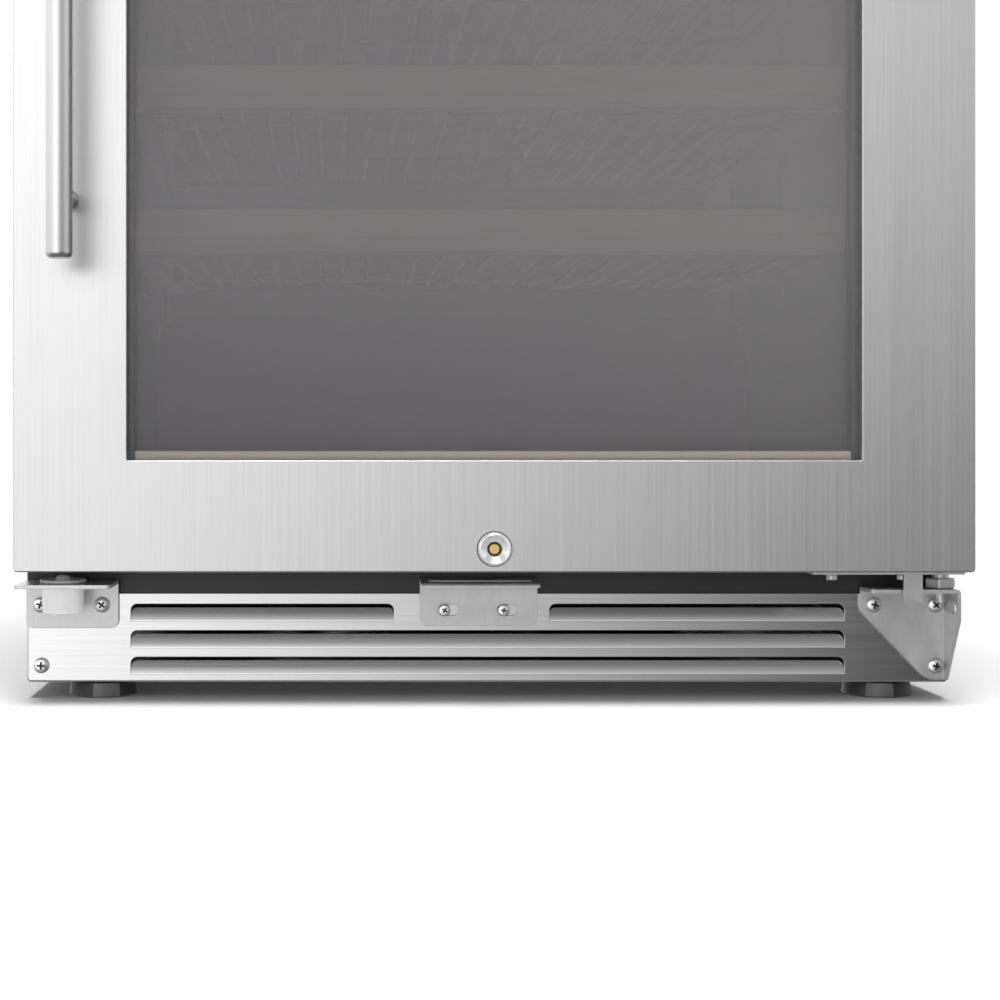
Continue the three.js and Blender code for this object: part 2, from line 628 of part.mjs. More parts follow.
cooler.add(
  piece("cabinet_shell", cabinetShell(), "blackPaint"),
  piece("inner_liner", innerLiner(), "darkPlastic"),
  piece("foam_insulation", foamInsulation(), "foam"),
  piece("back_panel", backPanel(), "galvanised"),
  piece("machine_cover", machineCover(), "blackPaint"),
  piece("power_inlet", powerInlet(), "darkPlastic"),
  piece("base_pan", basePan(), "galvanised"),
  piece("kick_plate", kickPlate(), "steel"),
  piece("lower_hinge_bracket", lowerHingeBracket(), "bracketSteel"),
  piece("lower_hinge_pin", lowerHingePin(), "bracketSteel"),
  piece("upper_hinge_bracket", upperHingeBracket(), "bracketSteel"),
  piece("door_rest_bracket", doorRestBracket(), "bracketSteel"),
  piece("lock_strike", lockStrike(), "bracketSteel"),
  piece("condenser", condenser(), "aluminium"),
  piece("condenser_fan_frame", condenserFanFrame(), "darkPlastic"),
  piece("evaporator_cover", evaporatorCover(), "darkPlastic"),
  piece("control_panel", controlPanel(), "darkPlastic"),
  piece("light_strip", lightStrip(), "light"),
  piece("shelf_ladder_left", shelfLadder(-1), "darkPlastic"),
  piece("shelf_ladder_right", shelfLadder(1), "darkPlastic"),
  piece("bottom_rack", bottomRack(), "blackWire"),
);

const bush = piece("door_rest_bush", doorRestBush(), "nylon");
bush.position.set(REST_X, faceY + REST_DEPTH, 0);
cooler.add(bush);

const pump = piece("compressor", compressor(), "blackPaint");
pump.position.set(150, faceY + 486, 0);
cooler.add(pump);

const condenserFan = piece("condenser_fan_blade", fanBlade(CONDENSER_FAN.r, 18, 16), "darkPlastic");
condenserFan.rotation.z = -Math.PI / 2;
condenserFan.position.set(CONDENSER_FAN.x, faceY + CONDENSER_FAN.depth, CONDENSER_FAN.z);
cooler.add(condenserFan);

const evaporatorFan = piece("evaporator_fan_blade", fanBlade(EVAPORATOR_FAN.r, 16, 14), "darkPlastic");
evaporatorFan.position.set(0, faceY + EVAPORATOR_FAN.depth, EVAPORATOR_FAN.z);
cooler.add(evaporatorFan);

for (const [end, depth] of Object.entries(FOOT_DEPTHS)) {
  for (const [side, x] of Object.entries(FOOT_X)) {
    const mesh = piece(`foot_${end}_${side}`, foot(), "rubber");
    mesh.position.set(x, faceY + depth, 0);
    cooler.add(mesh);
  }
}

// Each bracket screw: name, X, height.
const largeScrews = [
  ["door_rest_screw_outer", -SCREW_OUTER_X, SCREW_UPPER_Z],
  ["door_rest_screw_inner", -SCREW_INNER_X, SCREW_UPPER_Z],
  ["hinge_bracket_screw_outer", SCREW_OUTER_X, SCREW_UPPER_Z],
  ["hinge_bracket_screw_inner", SCREW_INNER_X, SCREW_UPPER_Z],
  ["hinge_bracket_screw_lower", SCREW_OUTER_X, SCREW_LOWER_Z],
];
for (const [name, x, z] of largeScrews) {
  const mesh = piece(name, screw(5, 2.6, 9), "screwSteel");
  mesh.position.set(x, faceY + BRACKET_FRONT - GAP, z);
  cooler.add(mesh);
}

const plateScrew = piece("kick_plate_screw", screw(5, 2.6, 7), "screwSteel");
plateScrew.position.set(-SCREW_OUTER_X, faceY + KICK_FRONT - GAP, SCREW_LOWER_Z);
cooler.add(plateScrew);

for (const [i, x] of STRIKE_SCREWS.entries()) {
  const mesh = piece(`strike_screw_${i + 1}`, screw(3.8, 2.4, 8), "screwSteel");
  mesh.position.set(x, faceY + KICK_FRONT - 1.6 - 2 * GAP, STRIKE_SCREW_Z);
  cooler.add(mesh);
}

for (const [i, level] of SHELF_LEVELS.entries()) {
  const shelf = new THREE.Group();
  shelf.position.z = level;
  shelf.add(
    piece(`shelf_${i + 1}_rack`, shelfRack(), "blackWire"),
    piece(`shelf_${i + 1}_fascia`, shelfFascia(), "wood"),
  );
  cooler.add(shelf);
}

const door = new THREE.Group();
door.add(
  piece("door_frame", doorFrame(), "steel"),
  piece("door_liner", doorLiner(), "darkPlastic"),
  piece("door_gasket", doorGasket(), "rubber"),
  piece("outer_glass", pane(OUTER_PANE), "glass"),
  piece("glass_spacer", glassSpacer(), "spacer"),
  piece("inner_glass", pane(INNER_PANE), "glass"),
  piece("door_hinge_plate", doorHingePlate(), "bracketSteel"),
  piece("handle_bar", handleBar(0), "steel"),
  piece("handle_post_lower", handlePost(HANDLE.posts.lower), "steel"),
  piece("handle_post_upper", handlePost(HANDLE.posts.upper), "steel"),
  piece("lock_barrel", lockBarrel(), "chrome"),
  piece("lock_plug", lockPlug(), "brass"),
  piece("lock_cam", lockCam(), "bracketSteel"),
);
cooler.add(door);

export default cooler;
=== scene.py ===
"""The wine cooler's looks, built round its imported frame. Metres, +Z up, -Y to the front."""

import json
import math

import bmesh
import bpy
from mathutils import Matrix, Vector

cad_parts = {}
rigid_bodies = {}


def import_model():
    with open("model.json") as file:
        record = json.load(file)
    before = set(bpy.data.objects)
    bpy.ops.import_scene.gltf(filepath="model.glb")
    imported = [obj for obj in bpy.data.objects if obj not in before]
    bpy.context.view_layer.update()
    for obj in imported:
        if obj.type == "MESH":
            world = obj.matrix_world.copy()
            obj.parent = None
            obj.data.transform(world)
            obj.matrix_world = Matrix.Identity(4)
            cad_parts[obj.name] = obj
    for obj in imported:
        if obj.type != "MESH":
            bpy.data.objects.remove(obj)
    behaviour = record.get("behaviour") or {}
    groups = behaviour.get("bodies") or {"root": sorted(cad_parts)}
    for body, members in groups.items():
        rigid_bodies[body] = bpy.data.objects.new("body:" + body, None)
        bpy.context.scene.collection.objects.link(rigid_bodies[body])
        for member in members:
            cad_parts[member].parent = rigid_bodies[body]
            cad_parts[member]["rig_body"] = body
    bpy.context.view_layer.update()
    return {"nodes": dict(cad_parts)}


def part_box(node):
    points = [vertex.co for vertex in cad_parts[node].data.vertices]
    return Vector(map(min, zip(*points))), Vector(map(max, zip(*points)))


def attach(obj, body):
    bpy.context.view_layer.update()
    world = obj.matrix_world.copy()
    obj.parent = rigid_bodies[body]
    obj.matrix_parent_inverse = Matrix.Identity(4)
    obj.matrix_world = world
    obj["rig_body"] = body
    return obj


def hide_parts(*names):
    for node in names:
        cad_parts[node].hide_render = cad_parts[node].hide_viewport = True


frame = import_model()

MM = 0.001
CAMERA_LENS = 59.5  # mm, on a 36 mm sensor
CAMERA_SHIFT = (0.165, -0.051)
CAMERA_X, CAMERA_AWAY, CAMERA_Z = -0.0985, 1.021, 0.1613  # AWAY is in front of the door's face
GLOSS_SPAN = (-0.27, 0.33)  # the backdrop falls off between these parts of the direction's X
GLOSS_ACROSS = (1.95, 0.0)
GLOSS_LIFT = ((-0.07, 0.36), (0.0, 0.85))  # what the backdrop gains with the direction's Z
DOME = (0.48, 0.26)  # the dome's strength at the horizon and overhead
GLOSS_CEILING, GLOSS_BELOW = 0.22, 0.25  # the gloss light from overhead and from underneath
WHITE_BACKGROUND = 1.1
SUN_ENERGY, SUN_SPREAD, SUN_TILT = 2.9, 22, 15  # the last two in degrees
FLOOR_HALF = 30  # metres
SHARP_ANGLE = math.radians(35)

# ---- Places read from the frame ----


class Box:
    """A CAD node's extent at rest."""

    def __init__(self, node):
        low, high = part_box(node)
        self.x0, self.y0, self.z0 = low
        self.x1, self.y1, self.z1 = high

    @property
    def centre(self):
        return Vector(
            ((self.x0 + self.x1) / 2, (self.y0 + self.y1) / 2, (self.z0 + self.z1) / 2)
        )


door = Box("door_frame")
kick = Box("kick_plate")
liner = Box("inner_liner")
FACE = door.y0  # the door's front face

# ---- Materials ----


def make_node(tree, kind, inputs=None, **settings):
    """A node with its settings. Each input is given a value or linked to another node's output."""
    made = tree.nodes.new(kind)
    for key, value in settings.items():
        setattr(made, key, value)
    for key, value in (inputs or {}).items():
        if isinstance(value, bpy.types.NodeSocket):
            tree.links.new(value, made.inputs[key])
        else:
            made.inputs[key].default_value = value
    return made


class Shader:
    """A node material built up by short calls."""

    def __init__(self, name, **values):
        self.material = bpy.data.materials.new(name)
        self.material.use_nodes = True
        self.tree = self.material.node_tree
        self.bsdf = self.tree.nodes["Principled BSDF"]
        self.place = self.node("ShaderNodeTexCoord").outputs["Object"]
        for socket, value in values.items():
            self.bsdf.inputs[socket.replace("_", " ")].default_value = value

    def node(self, kind, inputs=None, **settings):
        return make_node(self.tree, kind, inputs, **settings)

    def link(self, source, target):
        self.tree.links.new(source, target)

    def stretched(self, scale):
        inputs = {"Scale": scale, "Vector": self.place}
        return self.node("ShaderNodeMapping", inputs).outputs["Vector"]

    def noise(self, scale, detail=3.0, roughness=0.55):
        """Noise on stretched object coordinates: scale is a triple of cycles per metre."""
        inputs = {"Scale": 1.0, "Detail": detail, "Roughness": roughness}
        inputs["Vector"] = self.stretched(scale)
        return self.node("ShaderNodeTexNoise", inputs).outputs["Fac"]

    def cells(self, scale):
        inputs = {"Scale": 1.0, "Vector": self.stretched(scale)}
        return self.node("ShaderNodeTexVoronoi", inputs).outputs["Color"]

    def ramp(self, fac, stops):
        ramp = self.node("ShaderNodeValToRGB")
        elements = ramp.color_ramp.elements
        while len(elements) < len(stops):
            elements.new(0.5)
        for element, (position, colour) in zip(elements, stops):
            element.position = position
            shade = colour if isinstance(colour, tuple) else (colour,) * 3
            element.color = (*shade, 1.0)
        self.link(fac, ramp.inputs["Fac"])
        return ramp.outputs["Color"]

    def tint(self, fac, low, high, ends=(0.3, 0.7)):
        """Two colours, met at the ends of a noise value's middle."""
        return self.ramp(fac, [(ends[0], low), (ends[1], high)])

    def spread(self, fac, low, high):
        """A noise value's middle stretched to the range low to high."""
        inputs = {"From Min": 0.3, "From Max": 0.7, "To Min": low, "To Max": high, "Value": fac}
        return self.node("ShaderNodeMapRange", inputs).outputs["Result"]

    def mix(self, a, b, share=0.5, blend="MIX"):
        inputs = {"Factor": share, "A": a, "B": b}
        mixer = self.node("ShaderNodeMix", inputs, data_type="RGBA", blend_type=blend)
        return mixer.outputs["Result"]

    def colour(self, source):
        self.link(source, self.bsdf.inputs["Base Color"])

    def rough(self, source):
        self.link(source, self.bsdf.inputs["Roughness"])

    def bump(self, height, distance, strength=0.5):
        inputs = {"Strength": strength, "Distance": distance, "Height": height}
        normal = self.node("ShaderNodeBump", inputs).outputs["Normal"]
        self.link(normal, self.bsdf.inputs["Normal"])

    def stretch_along(self, axis):
        """Stretches the shader's highlights along an axis of the piece."""
        along = self.node("ShaderNodeCombineXYZ", dict(zip("XYZ", axis))).outputs["Vector"]
        spaces = {"convert_from": "OBJECT", "convert_to": "WORLD", "vector_type": "VECTOR"}
        turned_axis = self.node("ShaderNodeVectorTransform", {"Vector": along}, **spaces)
        self.link(turned_axis.outputs["Vector"], self.bsdf.inputs["Tangent"])


def brushed_steel(name, grain, low, high, roughness, anisotropy, scratch):
    """Brushed sheet with its grain along X or Z. Highlights stretch across the grain."""

    def along(fine, slow):
        return tuple(slow if axis == grain else fine for axis in range(3))

    shader = Shader(name, Metallic=1.0, Anisotropic=anisotropy)
    fine = shader.noise(along(2200, 9), detail=2.0)
    coarse = shader.noise(along(500, 1.5), detail=1.0)
    cloud = shader.noise(along(12, 2.0), detail=1.0)
    streaks = shader.mix(shader.mix(fine, coarse, 0.32), cloud, 0.08)
    shader.colour(shader.tint(streaks, low, high))
    shader.rough(shader.spread(coarse, roughness - 0.015, roughness + 0.015))
    shader.bump(fine, 0.000004, scratch)
    shader.stretch_along((1.0, 0.0, 0.0) if grain == 2 else (0.0, 0.0, 1.0))
    return shader.material


def pressed_steel(name, low, high, roughness, metallic=0.55):
    """Satin zinc-plated bracket plate, a little cloudy, with a few fine scratches."""
    shader = Shader(name, Metallic=metallic)
    cloud = shader.noise((45, 45, 45), detail=4.0)
    scratches = shader.noise((1500, 1500, 90), detail=1.0)
    tone = shader.mix(cloud, scratches, 0.25)
    shader.colour(shader.tint(tone, low, high, (0.32, 0.68)))
    shader.rough(shader.spread(cloud, roughness - 0.06, roughness + 0.08))
    shader.bump(scratches, 0.000008, 0.2)
    return shader.material


def screw_plate():
    """Bright plated screw steel. The recess attribute paints shade into the driver slots."""
    shader = Shader("screw_steel", Metallic=1.0)
    fine = shader.noise((700, 700, 700), detail=3.0)
    plate = shader.tint(fine, (0.68, 0.68, 0.67), (0.8, 0.8, 0.79))
    shadow = shader.node("ShaderNodeAttribute", attribute_name="recess")
    # painted shade: the driver slots are darkened in colour to stand in for the shade inside them
    painted_slot_shade = shader.tint(shadow.outputs["Fac"], 1.0, 0.06, (0.2, 0.8))
    shader.colour(shader.mix(plate, painted_slot_shade, 1.0, "MULTIPLY"))
    shader.rough(shader.spread(fine, 0.3, 0.42))
    shader.bump(fine, 0.00001, 0.2)
    return shader.material


def galvanised_steel():
    shader = Shader("galvanised_steel", Metallic=0.3)
    spangle = shader.cells((260, 260, 260))
    cloud = shader.noise((25, 25, 25))
    tone = shader.mix(spangle, cloud, 0.6)
    shader.colour(shader.tint(tone, (0.25, 0.255, 0.26), (0.36, 0.365, 0.37), (0.2, 0.8)))
    shader.rough(shader.spread(cloud, 0.38, 0.55))
    shader.bump(spangle, 0.00001, 0.15)
    return shader.material


def painted(name, dark, light, roughness, peel):
    """Paint or powder coat with a slight orange peel: peel is the bump's depth in metres."""
    shader = Shader(name)
    fine = shader.noise((1400, 1400, 1400), detail=2.0)
    broad = shader.noise((9, 9, 9), detail=2.0)
    shader.colour(shader.tint(shader.mix(broad, fine, 0.4), dark, light))
    shader.rough(shader.spread(fine, roughness - 0.03, roughness + 0.03))
    shader.bump(fine, peel, 0.4)
    return shader.material


def moulded(name, dark, light, roughness, texture=0.00004):
    """Moulded plastic or rubber with a fine eroded texture."""
    shader = Shader(name)
    fine = shader.noise((2600, 2600, 2600), detail=3.0)
    broad = shader.noise((30, 30, 30), detail=3.0)
    shader.colour(shader.tint(shader.mix(broad, fine, 0.3), dark, light))
    shader.rough(shader.spread(fine, roughness - 0.07, roughness + 0.07))
    shader.bump(fine, texture, 0.4)
    return shader.material


def nylon():
    shader = Shader("nylon", Subsurface_Weight=0.25, Subsurface_Scale=0.002)
    shader.bsdf.inputs["Subsurface Radius"].default_value = (1.0, 0.95, 0.9)
    cloud = shader.noise((90, 90, 90), detail=2.0)
    shader.colour(shader.tint(cloud, (0.93, 0.93, 0.92), (0.97, 0.97, 0.96)))
    shader.rough(shader.spread(cloud, 0.3, 0.4))
    shader.bump(shader.noise((900, 900, 900), detail=1.0), 0.00001, 0.2)
    return shader.material


def polished(name, low, high, roughness):
    """Plated or machined metal: a turned finish that shows only in the highlights."""
    shader = Shader(name, Metallic=1.0)
    turning = shader.noise((900, 900, 900), detail=2.0)
    shader.colour(shader.tint(turning, low, high))
    shader.rough(shader.spread(turning, roughness, roughness + 0.07))
    shader.bump(turning, 0.00001, 0.15)
    return shader.material


def beech():
    shader = Shader("beech")
    figure = shader.noise((3.5, 60, 60), detail=5.0, roughness=0.6)
    flecks = shader.noise((140, 1500, 1500), detail=1.0)
    grain = shader.ramp(
        figure,
        [(0.3, (0.36, 0.2, 0.09)), (0.5, (0.5, 0.3, 0.15)), (0.72, (0.6, 0.39, 0.21))],
    )
    fleck = shader.tint(flecks, (0.55, 0.5, 0.45), (1.0, 1.0, 1.0), (0.35, 0.55))
    shader.colour(shader.mix(grain, fleck, 0.35, "MULTIPLY"))
    shader.rough(shader.spread(figure, 0.42, 0.58))
    shader.bump(flecks, 0.00006, 0.35)
    return shader.material


def tinted_glass(name, clear, haze_and_reflection, share):
    """A pane: see-through with a tint, a hazy layer that brightens towards the top and the right
    as a painted reflection, and a mirror gloss.
    """
    shader = Shader(name, Roughness=0.5)
    shader.bsdf.inputs["Specular IOR Level"].default_value = 0.0
    cloud = shader.noise((6, 6, 3), detail=2.0)
    parts = shader.node("ShaderNodeSeparateXYZ", {0: shader.place})
    shares = []
    # painted reflection: the hazy layer's colour ramps up with height and to the right, in place
    # of the backdrop's reflection
    for axis, low, high in (("Z", 0.16, 0.3), ("X", -0.23, 0.23)):
        inputs = {"From Min": low, "From Max": high, "Value": parts.outputs[axis]}
        shares.append(shader.node("ShaderNodeMapRange", inputs).outputs["Result"])
    tone = shader.mix(shader.mix(*shares, 0.46), cloud, 0.06)
    shader.colour(shader.tint(tone, *haze_and_reflection, (0.0, 1.0)))
    through = shader.node("ShaderNodeBsdfTransparent", {"Color": (*clear, 1.0)})
    inputs = {"Fac": share, 1: through.outputs[0], 2: shader.bsdf.outputs[0]}
    hazed = shader.node("ShaderNodeMixShader", inputs)
    gloss = shader.node("ShaderNodeBsdfGlossy", {"Roughness": 0.03})
    fresnel = shader.node("ShaderNodeFresnel", {"IOR": 1.22})
    inputs = {"Fac": fresnel.outputs[0], 1: hazed.outputs[0], 2: gloss.outputs[0]}
    glazed = shader.node("ShaderNodeMixShader", inputs)
    output = shader.tree.nodes["Material Output"]
    shader.link(glazed.outputs[0], output.inputs["Surface"])
    return shader.material


def lamp_diffuser():
    shader = Shader("lamp_diffuser", Roughness=0.3)
    ribs = shader.noise((600, 4, 4), detail=1.0)
    tint = shader.tint(ribs, (0.8, 0.85, 0.95), (0.95, 0.97, 1.0))
    shader.colour(tint)
    shader.link(tint, shader.bsdf.inputs["Emission Color"])
    shader.bsdf.inputs["Emission Strength"].default_value = 2.0
    return shader.material


VERTICAL, HORIZONTAL = 2, 0
door_steel = brushed_steel("door_steel", VERTICAL, 0.53, 0.62, 0.32, 0.6, 0.25)
kick_steel = brushed_steel("kick_steel", HORIZONTAL, 0.55, 0.635, 0.21, 0.6, 0.05)
bracket_steel = pressed_steel("bracket_steel", (0.5, 0.5, 0.5), (0.62, 0.62, 0.62), 0.36)
screw_steel = screw_plate()
galvanised = galvanised_steel()
cabinet_paint = painted("cabinet_paint", 0.009, 0.014, 0.45, 0.00003)
black_paint = painted("black_paint", 0.014, 0.02, 0.45, 0.00003)
black_plastic = moulded("black_plastic", 0.018, 0.028, 0.5)
liner_plastic = moulded("liner_plastic", (0.03, 0.029, 0.033), (0.042, 0.041, 0.046), 0.42)
foot_plastic = moulded("foot_plastic", 0.008, 0.014, 0.5)
# painted highlight: the lighter front panel of each foot stands in for a highlight on the foot
foot_painted_highlight = moulded("foot_painted_highlight", (0.15, 0.15, 0.15), (0.2, 0.2, 0.195), 0.4)
rubber = moulded("rubber", 0.016, 0.026, 0.7, 0.00006)
wire_coat = painted("wire_coat", 0.02, 0.03, 0.35, 0.00002)
foam = moulded("foam", (0.5, 0.4, 0.2), (0.6, 0.5, 0.26), 0.9, 0.0002)
white_nylon = nylon()
nickel = pressed_steel("satin_nickel", 0.76, 0.84, 0.28, 0.55)
brass = polished("brass", (0.7, 0.47, 0.18), (0.82, 0.58, 0.26), 0.4)
# painted light and shade: one spacer in two copies, a pale brightened tone for its bottom and top
# legs and black for its side legs, which lie in shade
spacer_metal_lit = pressed_steel("spacer_metal_lit", (0.93, 0.86, 0.75), (0.97, 0.9, 0.79), 0.5, 0.0)
spacer_side_shaded = moulded("spacer_side_shaded", 0.012, 0.02, 0.5)
aluminium = pressed_steel("aluminium", (0.55, 0.56, 0.57), (0.7, 0.71, 0.72), 0.35, 0.9)
wood = beech()
# the panes' haze colours; the ramp from the first to the second paints a reflection that is
# brighter to the top and the right
HAZE_AND_PAINTED_REFLECTION = ((0.42, 0.41, 0.435), (1.0, 0.99, 1.0))
outer_tint = tinted_glass("outer_tint", (0.97, 0.955, 0.95), HAZE_AND_PAINTED_REFLECTION, 0.1)
inner_tint = tinted_glass("inner_tint", (0.7, 0.69, 0.76), HAZE_AND_PAINTED_REFLECTION, 0.11)
diffuser = lamp_diffuser()

# ---- Mesh helpers ----


def shade(obj, angle=SHARP_ANGLE):
    """Smooth shading that keeps folded edges crisp."""
    mesh = obj.data
    mesh.polygons.foreach_set("use_smooth", [True] * len(mesh.polygons))
    mesh.set_sharp_from_angle(angle=angle)
    weighted = obj.modifiers.new("weighted", "WEIGHTED_NORMAL")
    weighted.keep_sharp = True


def mm(pairs):
    """Pairs of millimetres in metres."""
    return [(a * MM, b * MM) for a, b in pairs]


def linked(name, data):
    """A new object in the scene."""
    obj = bpy.data.objects.new(name, data)
    bpy.context.scene.collection.objects.link(obj)
    return obj


def mesh_of(name, bm):
    """A bmesh as a mesh; the bmesh is freed."""
    mesh = bpy.data.meshes.new(name)
    bm.to_mesh(mesh)
    bm.free()
    return mesh


def carried(obj, body, replaces):
    """Rides a piece on its body and hides the CAD nodes that it stands for."""
    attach(obj, body)
    if replaces:
        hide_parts(*replaces)
    return obj


def add_piece(name, bm, material, body, replaces=(), bevel=0.0, segments=2):
    """Makes a piece of a bmesh, optionally with its edges rounded, and rides it on a body."""
    bmesh.ops.recalc_face_normals(bm, faces=bm.faces)
    return add_object(name, mesh_of(name, bm), material, body, replaces, bevel, segments)


def add_object(name, mesh, material, body, replaces=(), bevel=0.0, segments=2):
    """Makes a piece of a finished mesh, as add_piece does."""
    obj = linked(name, mesh)
    mesh.materials.clear()
    mesh.materials.append(material)
    if bevel:
        rounding = obj.modifiers.new("rounding", "BEVEL")
        rounding.width = bevel
        rounding.segments = segments
        rounding.limit_method = "ANGLE"
        rounding.angle_limit = SHARP_ANGLE
        rounding.harden_normals = False
    shade(obj)
    return carried(obj, body, replaces)


def applied(obj):
    """The mesh of an object with its modifiers applied; the object is removed."""
    graph = bpy.context.evaluated_depsgraph_get()
    mesh = bpy.data.meshes.new_from_object(obj.evaluated_get(graph))
    bpy.data.objects.remove(obj)
    return mesh


def thickened(name, bm, thickness, offset=-1.0, even=False):
    """The mesh of a bmesh's faces given a thickness."""
    sheet = linked(name, mesh_of(name, bm))
    solid = sheet.modifiers.new("thickness", "SOLIDIFY")
    solid.thickness = thickness
    solid.offset = offset
    solid.use_even_offset = even
    return applied(sheet)


def cut_away(bm, cutters):
    """The mesh of bm with each cutter bmesh taken away."""
    bmesh.ops.recalc_face_normals(bm, faces=bm.faces)
    mesh = mesh_of("cut", bm)
    for cutter in cutters:
        base = linked("base", mesh)
        bmesh.ops.recalc_face_normals(cutter, faces=cutter.faces)
        knife = linked("knife", mesh_of("knife", cutter))
        boolean = base.modifiers.new("cut", "BOOLEAN")
        boolean.operation = "DIFFERENCE"
        boolean.solver = "EXACT"
        boolean.object = knife
        mesh = applied(base)
        bpy.data.objects.remove(knife)
    return mesh


def tidy(mesh):
    """Merges doubled vertices and flattens coplanar triangles, ready for bevels."""
    bm = bmesh.new()
    bm.from_mesh(mesh)
    bmesh.ops.remove_doubles(bm, verts=bm.verts, dist=1e-5)
    bmesh.ops.dissolve_limit(
        bm, angle_limit=math.radians(0.6), verts=bm.verts, edges=bm.edges
    )
    return bm


def refined(node, material, bevel, segments=2):
    """A piece in a CAD node's shape with its edges rounded."""
    bm = tidy(frame["nodes"][node].data)
    body = frame["nodes"][node]["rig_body"]
    return add_piece(f"{node}_fine", bm, material, body, (node,), bevel, segments)


def block(x, y, z):
    """A box bmesh from three pairs of limits."""
    bm = bmesh.new()
    bmesh.ops.create_cube(bm, size=1.0)
    size = Vector((x[1] - x[0], y[1] - y[0], z[1] - z[0]))
    centre = Vector((sum(x) / 2, sum(y) / 2, sum(z) / 2))
    bmesh.ops.scale(bm, vec=size, verts=bm.verts)
    bmesh.ops.translate(bm, vec=centre, verts=bm.verts)
    return bm


def drawn_out(first, second):
    """A closed body between two matching loops of points."""
    bm = bmesh.new()
    a = [bm.verts.new(point) for point in first]
    b = [bm.verts.new(point) for point in second]
    bm.faces.new(a)
    bm.faces.new(list(reversed(b)))
    for i in range(len(a)):
        j = (i + 1) % len(a)
        bm.faces.new((a[i], b[i], b[j], a[j]))
    return bm


def prism(outline, y0, y1):
    """An outline of (x, z) points drawn out between two Y planes."""
    return drawn_out([(x, y0, z) for x, z in outline], [(x, y1, z) for x, z in outline])


def turned(profile, centre, axis="Z", sides=48):
    """A solid of revolution: profile of (radius, distance along the axis) points."""
    bm = bmesh.new()
    rings = []
    for radius, along in profile:
        if radius < 1e-7:
            rings.append([bm.verts.new((0, 0, along))])
            continue
        ring = []
        for i in range(sides):
            angle = 2 * math.pi * i / sides
            ring.append(bm.verts.new((radius * math.cos(angle), radius * math.sin(angle), along)))
        rings.append(ring)
    for a, b in zip(rings, rings[1:]):
        for i in range(sides):
            j = (i + 1) % sides
            corners = [a[i % len(a)], a[j % len(a)], b[j % len(b)], b[i % len(b)]]
            unique = list(dict.fromkeys(corners))
            if len(unique) > 2:
                bm.faces.new(unique)
    for ring in (rings[0], rings[-1]):
        if len(ring) > 1:
            bm.faces.new(ring)
    if axis == "Y":
        bmesh.ops.rotate(bm, matrix=Matrix.Rotation(-math.pi / 2, 3, "X"), verts=bm.verts)
    if axis == "X":
        bmesh.ops.rotate(bm, matrix=Matrix.Rotation(math.pi / 2, 3, "Y"), verts=bm.verts)
    bmesh.ops.translate(bm, vec=Vector(centre), verts=bm.verts)
    return bm


def tube(profile, centre, sides=48):
    """A closed loop of (radius, distance along Y) points turned about Y."""
    bm = turned(profile, centre, "Y", sides)
    caps = [f for f in bm.faces if len(f.verts) == sides]
    bmesh.ops.delete(bm, geom=caps, context="FACES_ONLY")
    bmesh.ops.remove_doubles(bm, verts=bm.verts, dist=1e-7)
    return bm


def arc(centre, radius, start, end, steps):
    """Points on an arc, angles in degrees, as pairs."""
    points = []
    for i in range(steps + 1):
        angle = math.radians(start + (end - start) * i / steps)
        points.append((centre[0] + radius * math.cos(angle), centre[1] + radius * math.sin(angle)))
    return points


def rectangle(x0, x1, z0, z1, radius, steps=4):
    """A rounded rectangle's (x, z) points."""
    corners = [
        ((x1 - radius, z0 + radius), -90),
        ((x1 - radius, z1 - radius), 0),
        ((x0 + radius, z1 - radius), 90),
        ((x0 + radius, z0 + radius), 180),
    ]
    points = []
    for centre, start in corners:
        points += arc(centre, radius, start, start + 90, steps)
    return points


def ring_sweep(stations):
    """A closed ring through stations of (x0, x1, z0, z1, corner radius, y)."""
    bm = bmesh.new()
    loops = []
    for x0, x1, z0, z1, radius, y in stations:
        loops.append([bm.verts.new((x, y, z)) for x, z in rectangle(x0, x1, z0, z1, radius)])
    count = len(loops[0])
    for a, b in zip(loops, loops[1:] + loops[:1]):
        for i in range(count):
            j = (i + 1) % count
            bm.faces.new((a[i], a[j], b[j], b[i]))
    return bm


def folded(name, faces, thickness, radius, replaces, holes):
    """A bent bracket. Each face is a loop of points on the outside of the bends, anticlockwise."""
    bm = bmesh.new()
    known = {}

    def vertex(point):
        key = tuple(round(c, 6) for c in point)
        if key not in known:
            known[key] = bm.verts.new(point)
        return known[key]

    for face in faces:
        bm.faces.new([vertex(p) for p in face])
    folds = [e for e in bm.edges if len(e.link_faces) == 2]
    bmesh.ops.bevel(
        bm, geom=folds, offset=radius, segments=5, affect="EDGES", profile=0.5, clamp_overlap=True
    )
    mesh = thickened(name, bm, thickness, even=True)
    bm = bmesh.new()
    bm.from_mesh(mesh)
    mesh = cut_away(bm, holes)
    return add_object(name, mesh, bracket_steel, "cabinet", replaces, 0.3 * MM, 3)


def wires(name, runs, radius, body, replaces=()):
    """Round coated wire along several runs of points, in one curve."""
    curve = bpy.data.curves.new(name, "CURVE")
    curve.dimensions = "3D"
    curve.bevel_depth = radius
    curve.bevel_resolution = 3
    curve.use_fill_caps = True
    for points in runs:
        spline = curve.splines.new("POLY")
        spline.points.add(len(points) - 1)
        for control, point in zip(spline.points, points):
            control.co = (*point, 1.0)
        spline.use_smooth = True
    curve.materials.append(wire_coat)
    return carried(linked(name, curve), body, replaces)


# ---- Door ----

WINDOW_X = door.x1 - 70.2 * MM
WINDOW_Z = (door.z0 + 69.2 * MM, door.z1 - 69.5 * MM)
SHEET = 1.2 * MM


def window_grown(by):
    return (-WINDOW_X - by, WINDOW_X + by, WINDOW_Z[0] - by, WINDOW_Z[1] + by)


def door_shrunk(by):
    return (door.x0 + by, door.x1 - by, door.z0 + by, door.z1 - by)


